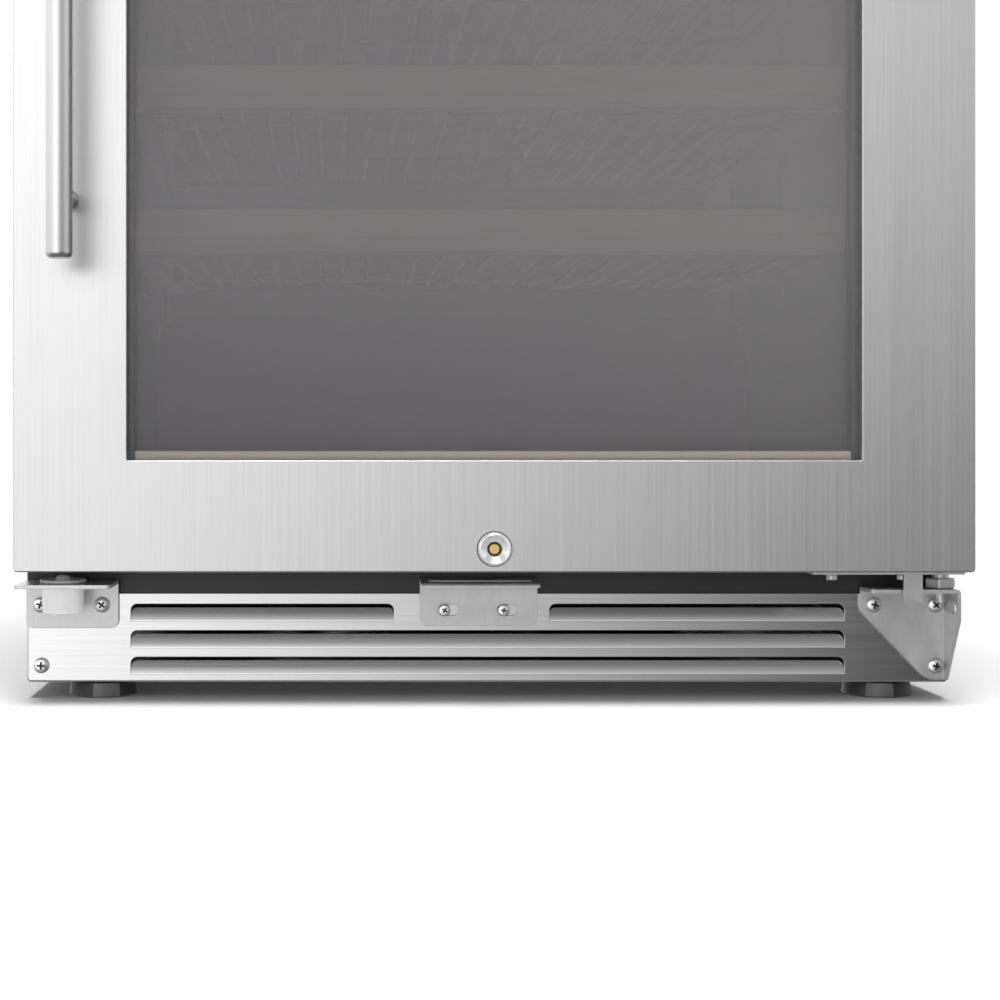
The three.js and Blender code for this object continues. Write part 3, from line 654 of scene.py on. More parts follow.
def door_frame():
    """One pressed frame with rounded folds, a rolled lip round the window and its holes."""
    edge, lip = 1.1 * MM, 0.5 * MM
    stations = [(*door_shrunk(0), 2.4 * MM, door.y1)]
    for along, depth in arc((edge, edge), edge, 180, 270, 5):
        stations.append((*door_shrunk(along), 2.4 * MM - along, FACE + depth))
    for along, depth in arc((lip, lip), lip, 270, 180, 4):
        stations.append((*window_grown(along), 1.3 * MM + along, FACE + depth))
    stations.append((*window_grown(0), 1.3 * MM, FACE + 5 * MM))
    stations.append((*window_grown(SHEET), 2.4 * MM, FACE + 5 * MM))
    stations.append((*window_grown(SHEET), 2.4 * MM, FACE + SHEET))
    stations.append((*door_shrunk(SHEET), 1.2 * MM, FACE + SHEET))
    stations.append((*door_shrunk(SHEET), 1.2 * MM, door.y1))
    lock, pin, cam = Box("lock_barrel").centre, Box("lower_hinge_pin").centre, Box("lock_cam")
    bore = mm([(8.6, -10), (8.6, 10)])
    pin_bore = mm([(5.8, -6), (5.8, 6)])
    holes = [
        turned(bore, (lock.x, FACE, lock.z), "Y"),
        turned(pin_bore, (pin.x, pin.y, door.z0), "Z"),
        turned(pin_bore, (pin.x, pin.y, door.z1), "Z"),
        block(
            (cam.x0 - 4 * MM, cam.x1 + 2.5 * MM),
            (cam.y0 - 1.8 * MM, cam.y1 + 1.2 * MM),
            (door.z0 - 0.002, door.z0 + 0.004),
        ),
    ]
    mesh = cut_away(ring_sweep(stations), holes)
    return add_object("door_frame_skin", mesh, door_steel, "door", ("door_frame",))


def door_gasket():
    """A soft bellows section with a rounded magnet nose, fitted into the door liner."""
    low = Box("door_gasket")
    line = (low.x0 + 9 * MM, low.x1 - 9 * MM, low.z0 + 9 * MM, low.z1 - 9 * MM)
    front, back = FACE + 42.0 * MM, low.y1

    def around(by, y):
        x0, x1, z0, z1 = line
        return (x0 - by, x1 + by, z0 - by, z1 + by, 5 * MM + by * 0.4, y)

    section = [(8.6, 0.0), (9.0, 1.0), (7.4, 2.0), (8.2, 3.2), (8.4, 5.0), (7.2, 5.7)]
    stations = [around(a * MM, front + d * MM) for a, d in section]
    stations += [around(-a * MM, front + d * MM) for a, d in reversed(section)]
    stations = [(*s[:5], min(s[5], back)) for s in stations]
    return add_piece(
        "door_gasket_bellows", ring_sweep(stations), rubber, "door", ("door_gasket",)
    )


def glazing():
    """Two panes with eased edges, and the warm-edge spacer between them, its side legs black as
    painted shade beside its pale bottom and top legs.
    """
    for node, tint in (("outer_glass", outer_tint), ("inner_glass", inner_tint)):
        refined(node, tint, 0.5 * MM, 2)
    space = Box("glass_spacer")
    side, end, reach = 15.5 * MM, 17.1 * MM, 9.5 * MM
    x0, x1 = space.x0 + side, space.x1 - side
    z0, z1 = space.z0 + end, space.z1 - end
    front, back = space.y0 + 0.3 * MM, space.y1 - 0.2 * MM
    legs = {
        "bottom": ((x0, x1), (z0 - reach, z0), spacer_metal_lit),
        "top": ((x0, x1), (z1, z1 + reach), spacer_metal_lit),
        # the side legs are black to paint the shade that falls on them
        "left": ((x0 - reach, x0 - 0.2 * MM), (z0 - reach, z1 + reach), spacer_side_shaded),
        "right": ((x1 + 0.2 * MM, x1 + reach), (z0 - reach, z1 + reach), spacer_side_shaded),
    }
    for leg, (across, up, metal) in legs.items():
        replaced = ("glass_spacer",) if leg == "bottom" else ()
        add_piece(
            f"glass_spacer_{leg}", block(across, (front, back), up), metal, "door",
            replaced, 0.7 * MM, 3,
        )


def handle():
    """A round bar with domed ends on two waisted posts."""
    grip = Box("handle_bar")
    r, end = (grip.x1 - grip.x0) / 2, 3 * MM
    c = grip.centre
    profile = [(0.0, grip.z0)]
    profile += [(r - end + x, grip.z0 + end + y) for x, y in arc((0, 0), end, 270, 360, 5)]
    profile += [(r - end + x, grip.z1 - end + y) for x, y in arc((0, 0), end, 0, 90, 5)]
    profile.append((0.0, grip.z1))
    add_piece(
        "handle_grip", turned(profile, (c.x, c.y, 0)), door_steel, "door",
        ("handle_bar",),
    )
    for end_name in ("lower", "upper"):
        node = f"handle_post_{end_name}"
        post = Box(node)
        height = post.y1 - post.y0
        waist = [
            (0.0, 0.0), (5.2 * MM, 0.0), (5.2 * MM, height * 0.3), (5.0 * MM, height * 0.6),
            (5.4 * MM, height - 4 * MM), (6.0 * MM, height - 2.4 * MM),
            (6.0 * MM, height - 0.4 * MM), (5.6 * MM, height), (0.0, height),
        ]
        place = (post.centre.x, post.y0, post.centre.z)
        add_piece(
            f"{node}_turned", turned(waist, place, "Y", 36), door_steel, "door",
            (node,), 0.3 * MM,
        )


def screw_mesh(name, radius, height, flatness):
    """A pan head with a cross recess, its underside at Y = 0 and its crown towards -Y."""
    wall = 0.24 * height
    power = 2 / flatness
    profile = [(0.0, 0.0), (radius * 0.97, 0.0), (radius, -0.1 * height), (radius, -wall)]
    for step in range(1, 12):
        a = math.radians(7.5 * step)
        rise = (height - wall) * math.sin(a) ** power
        profile.append((radius * math.cos(a) ** power, -wall - rise))
    profile.append((0.0, -height))
    head = turned(profile, (0, 0, 0), "Y", 48)
    arm, slot, floor = radius * 0.58, radius * 0.15, -0.25 * height
    knives = []
    for along_x in (True, False):
        wide, thin = (arm, slot) if along_x else (slot, arm)
        knife = block((-wide, wide), (-height * 1.5, floor), (-thin, thin))
        for v in knife.verts:
            if v.co.y > -height:
                v.co.x *= 0.7
                v.co.z *= 0.7
        knives.append(knife)
    mesh = cut_away(head, knives)
    mesh.name = name
    # marks the driver slots, where the screw finish paints shade
    recess = mesh.attributes.new("recess", "FLOAT", "POINT")
    for vertex, value in zip(mesh.vertices, recess.data):
        out = math.hypot(vertex.co.x, vertex.co.z)
        value.value = 1.0 if out < arm and vertex.co.y > -height * 0.6 else 0.0
    return mesh


def screws():
    """The screw heads, each turned its own way."""
    turns = {
        "door_rest_screw_outer": 20, "door_rest_screw_inner": 38, "hinge_bracket_screw_outer": 48,
        "hinge_bracket_screw_inner": 14, "hinge_bracket_screw_lower": 12, "kick_plate_screw": 2,
        "strike_screw_1": 33, "strike_screw_2": 6,
    }
    for node, turn in turns.items():
        at = Box(node)
        radius = (at.x1 - at.x0) / 2
        strike = node.startswith("strike")
        height, flatness = (2.2 * MM, 4.0) if strike else (2.6 * MM, 2.3)
        mesh = screw_mesh(f"{node}_head", radius, height, flatness)
        mesh.transform(Matrix.Rotation(math.radians(turn), 4, "Y"))
        mesh.transform(Matrix.Translation((at.centre.x, at.y0 + height, at.centre.z)))
        add_object(
            f"{node}_head", mesh, screw_steel, "cabinet", (node,), 0.1 * MM
        )


def lock():
    """A satin nickel dished ring, a black sleeve that paints the shade of the keyhole round the
    post, and the brass post of the key socket in it.
    """
    barrel, plug = Box("lock_barrel"), Box("lock_plug")
    x, z = barrel.centre.x, barrel.centre.z
    ring = [
        (7.6, 30.0), (7.6, -0.3), (10.2, -0.3), (10.4, -0.7), (10.4, -2.6), (10.2, -3.6),
        (9.8, -4.4), (9.3, -4.9), (8.9, -5.0), (8.5, -4.85), (7.6, -4.1), (6.6, -3.3), (5.7, -2.6),
        (4.9, -1.9), (4.55, -1.4), (4.45, -0.9), (4.45, 30.0), (7.6, 30.0),
    ]
    add_piece(
        "lock_ring", turned(mm(ring), (x, FACE, z), "Y", 64), nickel, "door",
        ("lock_barrel",),
    )
    post = [
        (0.0, -1.4), (2.9, -1.4), (3.3, -1.1), (3.3, 21.0), (4.0, 21.2), (4.0, 35.7), (3.0, 35.7),
        (3.0, 39.4), (0.0, 39.4),
    ]
    add_piece(
        "lock_post", turned(mm(post), (plug.centre.x, FACE, plug.centre.z), "Y", 12), brass,
        "lock_cylinder", ("lock_plug",), 0.15 * MM,
    )
    # painted shade: a black sleeve fills the keyhole round the post, where there is only shade
    sleeve = [(3.45, -1.0), (4.4, -1.0), (4.4, 20.0), (3.45, 20.0), (3.45, -1.0)]
    add_piece(
        "lock_sleeve_shade", tube(mm(sleeve), (x, FACE, z)), black_plastic, "door"
    )
    # painted shade: a dark rubber washer under the ring shows round its edge as a shadow line
    shade_washer = [(8.8, -0.26), (11.0, -0.26), (11.0, -0.03), (8.8, -0.03), (8.8, -0.26)]
    add_piece("lock_shade_washer", tube(mm(shade_washer), (x, FACE, z), 64), rubber, "door")
    refined("lock_cam", bracket_steel, 0.3 * MM)


def door_hinge_plate():
    """The plate under the door with its bent stop tab and two flanged bolts."""
    refined("door_hinge_plate", bracket_steel, 0.4 * MM, 3)
    plate = Box("door_hinge_plate")
    under, depth = plate.z1 - 1.8 * MM, FACE + 24 * MM
    flange = [(0.0, -1.2), (3.9, -1.2), (4.35, -0.8), (4.35, -0.1), (0.0, -0.1)]
    for i, x in enumerate((215.9 * MM, 260.5 * MM)):
        disc = turned(mm(flange), (x, depth, under), "Z", 32)
        add_piece(f"door_hinge_bolt_flange_{i + 1}", disc, screw_steel, "door")
        head = turned(mm([(3.9, -4.3), (3.9, -1.1)]), (x, depth, under), "Z", 6)
        add_piece(
            f"door_hinge_bolt_head_{i + 1}", head, screw_steel, "door", (), 0.4 * MM
        )


# ---- Kick plate and brackets ----

LOUVRE_TOPS = [61.3 * MM, 44.2 * MM, 27.1 * MM]
LOUVRE_HEIGHT = 10 * MM
LOUVRE_SILL = 1.4 * MM  # the slot is cut this much lower, where its blade rolls out of the sheet
LOUVRE_X = 230.4 * MM
STRIKE_GAP = (-60.5 * MM, 39.9 * MM)
LOUVRE_CORNER = 4.2 * MM


def louvre_spans():
    spans = [(-LOUVRE_X, STRIKE_GAP[0], LOUVRE_TOPS[0]), (STRIKE_GAP[1], LOUVRE_X, LOUVRE_TOPS[0])]
    return spans + [(-LOUVRE_X, LOUVRE_X, top) for top in LOUVRE_TOPS[1:]]


def slot_outline(x0, x1, z0, z1, corner):
    points = [(x0, z0), (x1, z0)]
    points += arc((x1 - corner, z1 - corner), corner, 0, 90, 6)
    points += arc((x0 + corner, z1 - corner), corner, 90, 180, 6)
    return points


def kick_plate():
    """Brushed sheet with folded edges and its louvres pressed in from their lower edges."""
    sheet, fold = 1.2 * MM, 1.6 * MM
    front, back = kick.y0, kick.y0 + 5 * MM
    x0, x1, z0, z1 = kick.x0, kick.x1, kick.z0, kick.z1

    def shape(by, y):
        """The plate's outline drawn in by an amount, at one depth."""
        corner = 2.8 * MM
        low = [(x0 + by, z1), (x0 + by, z0 + corner)]
        low += arc((x0 + corner, z0 + corner), corner - by, 180, 270, 5)[1:]
        low += arc((x1 - corner, z0 + corner), corner - by, 270, 360, 5)
        low.append((x1 - by, z1))
        return [(x, y, z) for x, z in low]

    rows = [shape(0.0, back)]
    rows += [shape(fold - a, front + d) for a, d in arc((0, fold), fold, 0, -90, 5)]
    bm = bmesh.new()
    loops = [[bm.verts.new(p) for p in row] for row in rows]
    for a, b in zip(loops, loops[1:]):
        for i in range(len(a) - 1):
            bm.faces.new((a[i], a[i + 1], b[i + 1], b[i]))
    bm.faces.new(loops[-1])
    bmesh.ops.recalc_face_normals(bm, faces=bm.faces)
    bm.faces.ensure_lookup_table()
    if bm.faces[-1].normal.y > 0:  # the front face has to look to the front
        bmesh.ops.reverse_faces(bm, faces=bm.faces)
    pan = thickened("kick_sheet", bm, sheet, even=True)
    bm = bmesh.new()
    bm.from_mesh(pan)
    cutters = []
    for left, right, top in louvre_spans():
        low = top - LOUVRE_HEIGHT - LOUVRE_SILL
        slot = slot_outline(left, right, low, top, LOUVRE_CORNER)
        cutters.append(prism(slot, front - 0.002, front + 0.004))
    mesh = cut_away(bm, cutters)
    add_object(
        "kick_plate_sheet", mesh, kick_steel, "cabinet", ("kick_plate",), 0.2 * MM
    )
    for i, (left, right, top) in enumerate(louvre_spans()):
        blade(f"kick_louvre_{i + 1}", left, right, top, front)


def blade(name, x0, x1, top, front):
    """A louvre blade: it rolls back out of the sheet, then leans more and more behind its slot."""
    roll, first, last = 2.6 * MM, 18.0, 27.0
    foot = top - LOUVRE_HEIGHT - LOUVRE_SILL
    length = LOUVRE_HEIGHT - 0.6 * MM
    straight = length - LOUVRE_CORNER
    marks = [roll * math.radians(first) * k / 6 for k in range(7)]
    start = marks[-1]
    marks += [start + (straight - start) * k / 4 for k in range(1, 5)]
    marks += [straight + LOUVRE_CORNER * math.sin(math.radians(15 * k)) for k in range(1, 7)]
    rows = [(0.0, front, foot)]
    for s in marks[1:]:
        before, y, z = rows[-1]
        middle = (before + s) / 2
        lean = first + (last - first) * (middle - start) / (length - start)
        angle = math.radians(min(math.degrees(middle / roll), lean) if middle < start else lean)
        rows.append((s, y + (s - before) * math.sin(angle), z + (s - before) * math.cos(angle)))
    bm = bmesh.new()
    previous = None
    for s, y, z in rows:
        over = max(0.0, s - straight)
        inset = LOUVRE_CORNER - math.sqrt(max(LOUVRE_CORNER**2 - over**2, 0.0)) + 0.15 * MM
        pair = (bm.verts.new((x0 + inset, y, z)), bm.verts.new((x1 - inset, y, z)))
        if previous:
            bm.faces.new((previous[0], previous[1], pair[1], pair[0]))
        previous = pair
    add_object(name, thickened(name, bm, 1.1 * MM), kick_steel, "cabinet")


def lower_hinge_bracket():
    """Folded plate: back, shelf for the pin, and a web whose front edge slants back."""
    b = Box("lower_hinge_bracket")
    back, front = b.y1, b.y0
    x0, x1, top, bottom = b.x0, b.x1, b.z1, b.z0
    low = [(x1, bottom), (287.0 * MM, bottom), (283.6 * MM, bottom + 0.4 * MM)]
    low += [(280.4 * MM, 15.0 * MM), (277.2 * MM, 18.2 * MM), (x0 + 2.4 * MM, 54.6 * MM)]
    low += [(x0 + 0.7 * MM, 57.2 * MM), (x0, 60.0 * MM), (x0, top), (x1, top)]
    plate = [(x, back, z) for x, z in low]
    shelf = [(x1, back, top), (x0, back, top), (x0, front + 2 * MM, top)]
    shelf += [(x0 + 2 * MM, front, top), (x1, front, top)]
    web = [(x1, back, bottom), (x1, back, top), (x1, front, top), (x1, front, 53 * MM)]
    web.append((x1, back - 3.4 * MM, bottom))
    pin = Box("lower_hinge_pin").centre
    holes = [
        turned(mm([(4, -10), (4, 10)]), (x1, FACE + 27 * MM, 60.3 * MM), "X", 32),
        turned(mm([(3.9, -10), (3.9, 10)]), (pin.x, pin.y, top), "Z", 32),
    ]
    folded(
        "hinge_bracket_plate", [plate, shelf, web], 2.4 * MM, 2.6 * MM,
        ("lower_hinge_bracket",), holes,
    )


def hinge_pin():
    """Threaded pin with a chamfered hexagon nut, a collar, and a flared lower end."""
    p = Box("lower_hinge_pin")
    x, y = p.centre.x, p.centre.y
    shaft = [
        (0.0, 63.5), (3.3, 63.5), (3.4, 64.0), (2.9, 65.4), (2.5, 67.0), (2.5, 72.8), (5.2, 73.0),
        (5.2, 96.2), (4.6, 97.0), (0.0, 97.0),
    ]
    add_piece(
        "hinge_pin_shaft", turned(mm(shaft), (x, y, 0), "Z", 40),
        bracket_steel, "cabinet", ("lower_hinge_pin",), 0.15 * MM,
    )
    nut = turned(mm([(9.8, 72.95), (9.8, 79.2)]), (0, 0, 0), "Z", 6)
    bmesh.ops.rotate(nut, matrix=Matrix.Rotation(math.radians(6), 3, "Z"), verts=nut.verts)
    bmesh.ops.translate(nut, vec=(x, y, 0), verts=nut.verts)
    mesh = cut_away(nut, [turned(mm([(5.25, 70), (5.25, 82)]), (x, y, 0), "Z", 40)])
    add_object(
        "hinge_pin_nut", mesh, bracket_steel, "cabinet", (), 0.7 * MM, 3
    )


def upright_face(b, corner=5 * MM):
    """A bracket's face against the kick plate, with its lower corners rounded."""
    low = [(b.x1, b.z1)]
    low += reversed(arc((b.x1 - corner, b.z0 + corner), corner, 270, 360, 6))
    low += reversed(arc((b.x0 + corner, b.z0 + corner), corner, 180, 270, 6))
    low.append((b.x0, b.z1))
    return [(x, b.y1, z) for x, z in low]


def door_rest():
    """The angle bracket under the free corner of the door, with its white bush."""
    b = Box("door_rest_bracket")
    back, front = b.y1, b.y0
    round_off = 2.2 * MM
    shelf = [(b.x1, back, b.z1), (b.x0, back, b.z1)]
    left = arc((b.x0 + round_off, front + round_off), round_off, 180, 270, 4)
    right = arc((b.x1 - round_off, front + round_off), round_off, 270, 360, 4)
    shelf += [(x, y, b.z1) for x, y in left + right]
    bush = Box("door_rest_bush")
    hole = turned(mm([(9.9, -10), (9.9, 10)]), (bush.centre.x, bush.centre.y, b.z1), "Z")
    folded(
        "door_rest_plate", [upright_face(b), shelf], 2.4 * MM, 2.6 * MM,
        ("door_rest_bracket",), [hole],
    )
    top = b.z1 / MM
    profile = [
        (0.0, 58.3), (12.2, 58.3), (12.9, 58.8), (13.0, 59.6), (13.0, top - 2.8),
        (12.6, top - 2.5), (9.6, top - 2.4), (9.6, top + 0.2), (14.0, top + 0.2),
        (14.6, top + 0.7), (14.6, top + 1.7), (14.2, top + 2.1), (13.4, top + 2.1),
        (12.6, top + 1.5), (10.0, top + 1.2), (6.2, top + 1.3), (5.3, top + 1.8),
        (4.8, top + 3.0), (3.6, top + 4.3), (2.0, top + 4.9), (0.0, top + 5.05),
    ]
    add_piece(
        "door_rest_bush_turned",
        turned(mm(profile), (bush.centre.x, bush.centre.y, 0), "Z", 64),
        white_nylon, "cabinet", ("door_rest_bush",),
    )


def lock_strike():
    """A slotted plate whose top folds forward into a falling ledge with the cam's long slot."""
    b = Box("lock_strike")
    back = b.y1
    ledge = b.z1 - 3.2 * MM
    top = [(b.x1, back, b.z1), (b.x0, back, b.z1), (b.x0, b.y0, ledge), (b.x1, b.y0, ledge)]
    drop = ledge - 2.6 * MM
    lip = [(b.x0, b.y0, ledge), (b.x0, b.y0, drop), (b.x1, b.y0, drop), (b.x1, b.y0, ledge)]
    holes = []
    for node in ("strike_screw_1", "strike_screw_2"):
        s = Box(node).centre
        left, right = s.x - 4.4 * MM, s.x + 9.2 * MM
        slot = rectangle(left, right, s.z - 3.5 * MM, s.z + 3.5 * MM, 3.49 * MM, 8)
        holes.append(prism(slot, back - 0.004, b.y1 + 0.002))
    cam = Box("lock_cam")
    middle = (cam.y0 + cam.y1) / 2
    holes.append(
        block((-38.4 * MM, 27.1 * MM), (middle - 1.2 * MM, middle + 1.2 * MM), (0.06, 0.09))
    )
    folded(
        "lock_strike_plate", [upright_face(b), top, lip], 1.2 * MM, 1.8 * MM,
        ("lock_strike",), holes,
    )


# ---- Cabinet ----


def plain_pieces():
    """The pieces that keep their CAD shape, with rounded edges and a finish."""
    rows = [
        ("upper_hinge_bracket", bracket_steel, "bracket_steel", 0.5, 3),
        ("cabinet_shell", cabinet_paint, "black_paint", 0.5, 2),
        ("back_panel", galvanised, "galvanised", 0.4, 2),
        ("machine_cover", black_paint, "black_paint", 0.3, 2),
        ("power_inlet", black_plastic, "black_plastic", 0.6, 2),
        ("base_pan", galvanised, "galvanised", 0.4, 2),
        ("compressor", black_paint, "black_paint", 1.5, 3),
        ("condenser_fan_frame", black_plastic, "black_plastic", 1.0, 2),
        ("control_panel", black_plastic, "black_plastic", 2.0, 4),
        ("evaporator_cover", liner_plastic, "black_plastic", 0.8, 2),
        ("light_strip", diffuser, "light_diffuser", 1.5, 3),
        ("door_liner", black_plastic, "black_plastic", 1.0, 2),
        ("condenser", aluminium, "spacer_aluminium", 0.3, 2),
        ("condenser_fan_blade", black_plastic, "black_plastic", 0.4, 2),
        ("evaporator_fan_blade", black_plastic, "black_plastic", 0.4, 2),
        ("shelf_ladder_left", liner_plastic, "black_plastic", 0.8, 2),
        ("shelf_ladder_right", liner_plastic, "black_plastic", 0.8, 2),
    ]
    for node, material, slot, bevel, segments in rows:
        refined(node, material, bevel * MM, segments)


def insulation():
    """The foam, with its cavity widened and its front drawn back, away from the liner."""
    bm = tidy(frame["nodes"]["foam_insulation"].data)
    front = min(v.co.y for v in bm.verts)
    clear = 6 * MM
    cavity_half, ceiling_from, front_depth = 252 * MM, 700 * MM, 10 * MM
    for v in bm.verts:
        if abs(v.co.x) < cavity_half:
            v.co.x += math.copysign(clear, v.co.x)
            v.co.z += clear if v.co.z > ceiling_from else -clear
            v.co.y += clear
        elif v.co.y < front + front_depth:
            v.co.y += clear
    add_piece(
        "foam_body", bm, foam, "cabinet", ("foam_insulation",), 1.5 * MM, 2
    )


def inner_liner():
    """The compartment: rounded corners, the step over the machine bay, a front lip."""
    back, front = liner.y1 - 2.2 * MM, liner.y0
    x = 247.5 * MM
    floor, ceiling = 137 * MM, 778 * MM
    step_y, step_z = FACE + 372 * MM, 272 * MM
    path = [(front, floor), (step_y, floor), (step_y, step_z), (back, step_z), (back, ceiling)]
    path.append((front, ceiling))
    bm = bmesh.new()
    left = [bm.verts.new((-x, y, z)) for y, z in path]
    right = [bm.verts.new((x, y, z)) for y, z in path]
    for i in range(len(path) - 1):
        bm.faces.new((left[i], left[i + 1], right[i + 1], right[i]))
    bm.faces.new(left)
    bm.faces.new(list(reversed(right)))
    inner_edges = [e for e in bm.edges if len(e.link_faces) == 2]
    bmesh.ops.bevel(bm, geom=inner_edges, offset=11 * MM, segments=5, affect="EDGES", profile=0.5)
    bmesh.ops.recalc_face_normals(bm, faces=bm.faces)
    rim = [e for e in bm.edges if e.is_boundary]
    grown = bmesh.ops.extrude_edge_only(bm, edges=rim)["geom"]
    lip_side, lip_end = 7.0 * MM, 3.4 * MM
    for v in (g for g in grown if isinstance(g, bmesh.types.BMVert)):
        v.co.x += math.copysign(lip_side, v.co.x)
        v.co.z += lip_end if v.co.z > (floor + ceiling) / 2 else -lip_end
    mesh = thickened("inner_liner_shell", bm, 1.6 * MM, 1.0)
    add_object(
        "inner_liner_shell", mesh, liner_plastic, "cabinet", ("inner_liner",)
    )


def feet():
    """Each foot: a dark moulded skirt on a stem, with a lighter ribbed panel on its front that
    paints the highlight there.
    """
    sectors = {"left": (-99.5, -53.3), "right": (-125.6, -79.3)}  # the lighter panels that paint the highlight, in degrees
    ribs = 10
    skirt = [
        (0.0, 0.0), (21.6, 0.0), (22.2, 0.4), (22.2, 1.4), (20.9, 9.0), (20.2, 10.0),
        (9.0, 10.3), (8.8, 11.1), (5.0, 11.2), (5.0, 35.4), (4.4, 36.0), (0.0, 36.0),
    ]
    highlight_section = [(22.4, 0.5), (22.4, 1.6), (21.0, 9.2), (19.0, 9.6), (19.0, 0.5)]
    for place in ("front_left", "front_right", "rear_left", "rear_right"):
        node = f"foot_{place}"
        first, last = sectors[place.split("_")[1]]
        b = Box(node)
        c = b.centre
        add_piece(
            f"{node}_skirt", turned(mm(skirt), (c.x, c.y, b.z0), "Z", 64), foot_plastic, node,
            (node,),
        )
        highlight_panel = bmesh.new()
        rings = []
        for r, z in highlight_section:
            ring = []
            for k in range(2 * ribs + 1):
                a = math.radians(first + (last - first) * k / (2 * ribs))
                out = (r - (0.12 if k % 2 and r > 20 else 0.0)) * MM
                point = (c.x + out * math.cos(a), c.y + out * math.sin(a), z * MM)
                ring.append(highlight_panel.verts.new(point))
            rings.append(ring)
        for low, high in zip(rings, rings[1:] + rings[:1]):
            for k in range(2 * ribs):
                highlight_panel.faces.new((low[k], low[k + 1], high[k + 1], high[k]))
        highlight_panel.faces.new([ring[0] for ring in rings])
        highlight_panel.faces.new([ring[-1] for ring in reversed(rings)])
        add_piece(f"{node}_block", highlight_panel, foot_painted_highlight, node)


# ---- Shelves ----


def rods_between(x0, x1, count, y0, y1, z):
    """Parallel runs from front to back, evenly spaced across."""
    places = [x0 + (x1 - x0) * k / (count - 1) for k in range(count)]
    return [[(x, y0, z), (x, y1, z)] for x in places]


def racks():
    """Wire racks: rails and cross bars under thin rods, and a beech front on each shelf."""
    for i in range(1, 6):
        r = Box(f"shelf_{i}_rack")
        thick, thin = 2.4 * MM, 1.6 * MM
        z = r.z1 - 2.5 * MM
        left, right, back = r.x0 + thick, r.x1 - thick, r.y1 - thick
        frame_runs = [[(left, r.y0, z), (left, back, z), (right, back, z), (right, r.y0, z)]]
        for y in (r.y0 + 3 * MM, r.y0 + 118 * MM, r.y0 + 244 * MM):
            frame_runs.append([(left, y, z), (right, y, z)])
        body = f"shelf_{i}"
        wires(f"shelf_{i}_rails", frame_runs, thick, body, (f"shelf_{i}_rack",))
        rods = rods_between(
            r.x0 + 16 * MM, r.x1 - 16 * MM, 25, r.y0 + 1 * MM, r.y1 - 3 * MM, z + 0.9 * MM
        )
        wires(f"shelf_{i}_rods", rods, thin, body)
        fascia(f"shelf_{i}_front", Box(f"shelf_{i}_fascia"), body, (f"shelf_{i}_fascia",))


def fascia(name, f, body, replaces):
    """A beech rail with rounded edges and a routed finger groove along its face."""
    height = f.z1 - f.z0
    groove = [
        (f.y0, f.z0 + height * 0.30), (f.y0 + 1.2 * MM, f.z0 + height * 0.34),
        (f.y0 + 1.2 * MM, f.z0 + height * 0.40), (f.y0, f.z0 + height * 0.44),
    ]
    profile = [(f.y1, f.z0), (f.y0, f.z0), *groove, (f.y0, f.z1), (f.y1, f.z1)]
    bm = drawn_out([(f.x0, y, z) for y, z in profile], [(f.x1, y, z) for y, z in profile])
    return add_piece(name, bm, wood, body, replaces, 1.6 * MM, 4)


def bottom_rack():
    """A low wire rack on two runners, standing on the compartment's floor."""
    b = Box("bottom_rack")
    z, low = b.z1 - 2.5 * MM, b.z0 + 2.6 * MM
    runs = []
    for y in (b.y0 + 3 * MM, b.y0 + 132 * MM, b.y1 - 3 * MM):
        runs.append([(b.x0 + 2.5 * MM, y, z), (b.x1 - 2.5 * MM, y, z)])
    for x in (b.x0 + 8 * MM, b.x1 - 8 * MM):
        runs.append([(x, b.y0 + 3 * MM, low), (x, b.y1 - 3 * MM, low)])
        for y in (b.y0 + 3 * MM, b.y1 - 3 * MM):
            runs.append([(x, y, low), (x, y, z)])
    wires("bottom_rack_rails", runs, 2.3 * MM, "cabinet", ("bottom_rack",))
    rods = rods_between(
        b.x0 + 18 * MM, b.x1 - 18 * MM, 19, b.y0 + 1 * MM, b.y1 - 1 * MM, z + 1 * MM
    )
    wires("bottom_rack_rods", rods, 1.5 * MM, "cabinet")


# ---- Stage ----


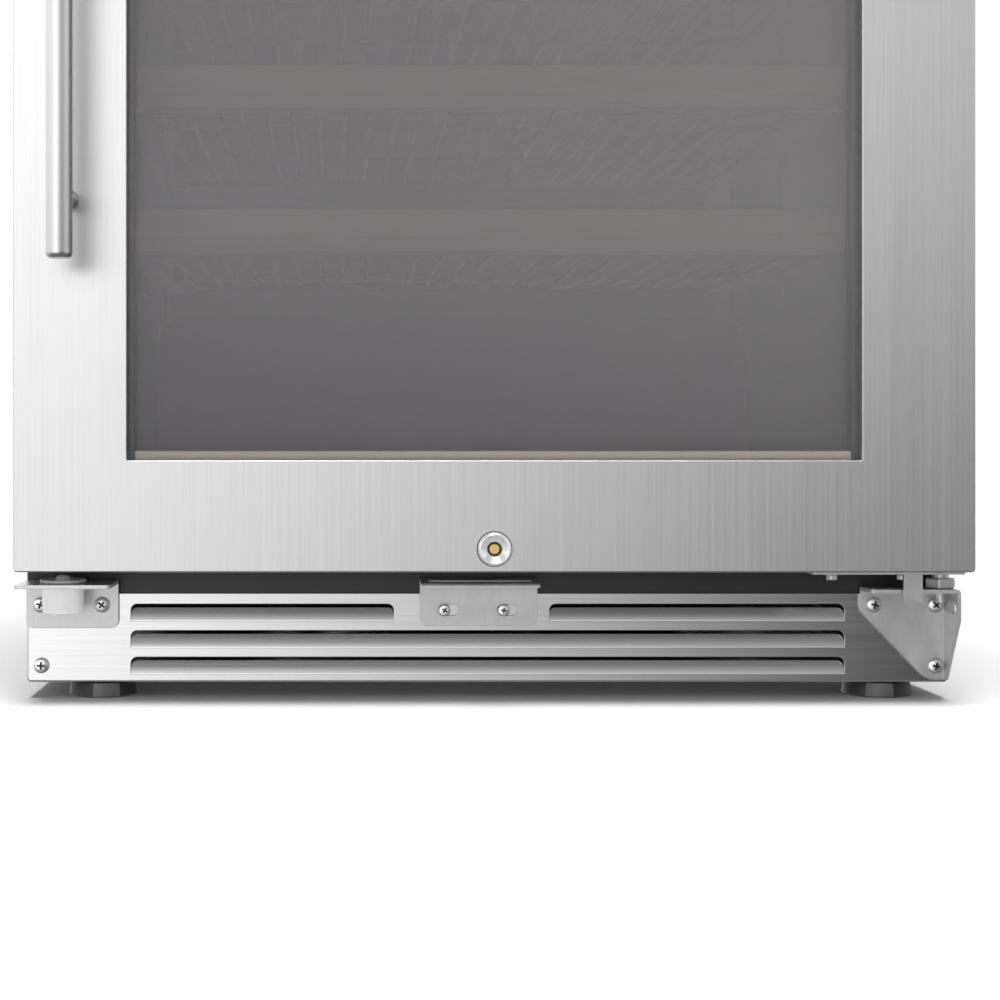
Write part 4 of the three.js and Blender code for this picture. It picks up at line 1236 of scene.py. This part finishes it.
def studio_world():
    """White for the eye, an even dome for the light, and a falling-off backdrop for the gloss."""
    world = bpy.data.worlds.new("studio")
    world.use_nodes = True
    tree = world.node_tree
    tree.nodes.clear()
    direction = make_node(tree, "ShaderNodeTexCoord").outputs["Generated"]
    split = make_node(tree, "ShaderNodeSeparateXYZ", {0: direction})

    def run(axis, span, values):
        """A value that follows one component of the direction."""
        inputs = dict(zip(("From Min", "From Max", "To Min", "To Max"), (*span, *values)))
        inputs["Value"] = split.outputs[axis]
        return make_node(tree, "ShaderNodeMapRange", inputs).outputs["Result"]

    def combine(operation, a, b):
        return make_node(tree, "ShaderNodeMath", {0: a, 1: b}, operation=operation).outputs[0]

    def light(strength):
        inputs = {"Color": (1.0, 1.0, 1.0, 1.0), "Strength": strength}
        return make_node(tree, "ShaderNodeBackground", inputs).outputs[0]

    def choose(share, a, b):
        return make_node(tree, "ShaderNodeMixShader", {"Fac": share, 1: a, 2: b}).outputs[0]

    across = run("X", GLOSS_SPAN, GLOSS_ACROSS)
    edge = run("X", (-0.7, -0.36), (0.45, 1.0))
    far_side = run("X", (0.6, 0.95), (0.0, 0.6))
    backdrop = combine("ADD", combine("MULTIPLY", across, edge), far_side)
    backdrop = combine("ADD", backdrop, run("Z", *GLOSS_LIFT))
    ceiling = run("Z", (0.36, 0.58), (0.0, 1.0))
    below = run("Z", (-0.35, -0.6), (0.0, 1.0))
    gloss = choose(ceiling, light(backdrop), light(GLOSS_CEILING))
    gloss = choose(below, gloss, light(GLOSS_BELOW))
    dome = light(run("Z", (0.0, 1.0), DOME))
    rays = tree.nodes.new("ShaderNodeLightPath")
    lit = choose(rays.outputs["Is Glossy Ray"], dome, gloss)
    seen = choose(rays.outputs["Is Camera Ray"], lit, light(WHITE_BACKGROUND))
    make_node(tree, "ShaderNodeOutputWorld", {"Surface": seen})
    return world


def stage():
    """A pale floor and a white studio's light, bright on the left, less so on the right."""
    scene = bpy.context.scene
    bm = bmesh.new()
    bmesh.ops.create_grid(bm, x_segments=2, y_segments=2, size=FLOOR_HALF)
    floor = linked("floor", mesh_of("floor", bm))
    paint = Shader("floor_paper", Roughness=0.9, Specular_IOR_Level=0.0)
    paint.colour(paint.tint(paint.noise((3, 3, 3)), 0.9, 0.92))
    floor.data.materials.append(paint.material)
    floor.visible_glossy = False
    scene.world = studio_world()

    sun = bpy.data.lights.new("key", "SUN")
    sun.energy = SUN_ENERGY
    sun.angle = math.radians(SUN_SPREAD)
    key = linked("key", sun)
    key.rotation_euler = (math.radians(SUN_TILT), 0, 0)

    scene.view_settings.view_transform = "Standard"


def camera():
    """A level camera with a shifted lens, as the photograph's view needs."""
    data = bpy.data.cameras.new("camera")
    data.lens = CAMERA_LENS
    data.sensor_width = 36.0
    data.shift_x, data.shift_y = CAMERA_SHIFT
    obj = linked("camera", data)
    obj.location = (CAMERA_X, FACE - CAMERA_AWAY, CAMERA_Z)
    obj.rotation_euler = (math.pi / 2, 0, 0)
    bpy.context.scene.camera = obj


camera()
stage()
door_frame()
door_gasket()
glazing()
handle()
screws()
lock()
door_hinge_plate()
kick_plate()
lower_hinge_bracket()
hinge_pin()
door_rest()
lock_strike()
plain_pieces()
insulation()
inner_liner()
feet()
racks()
bottom_rack()
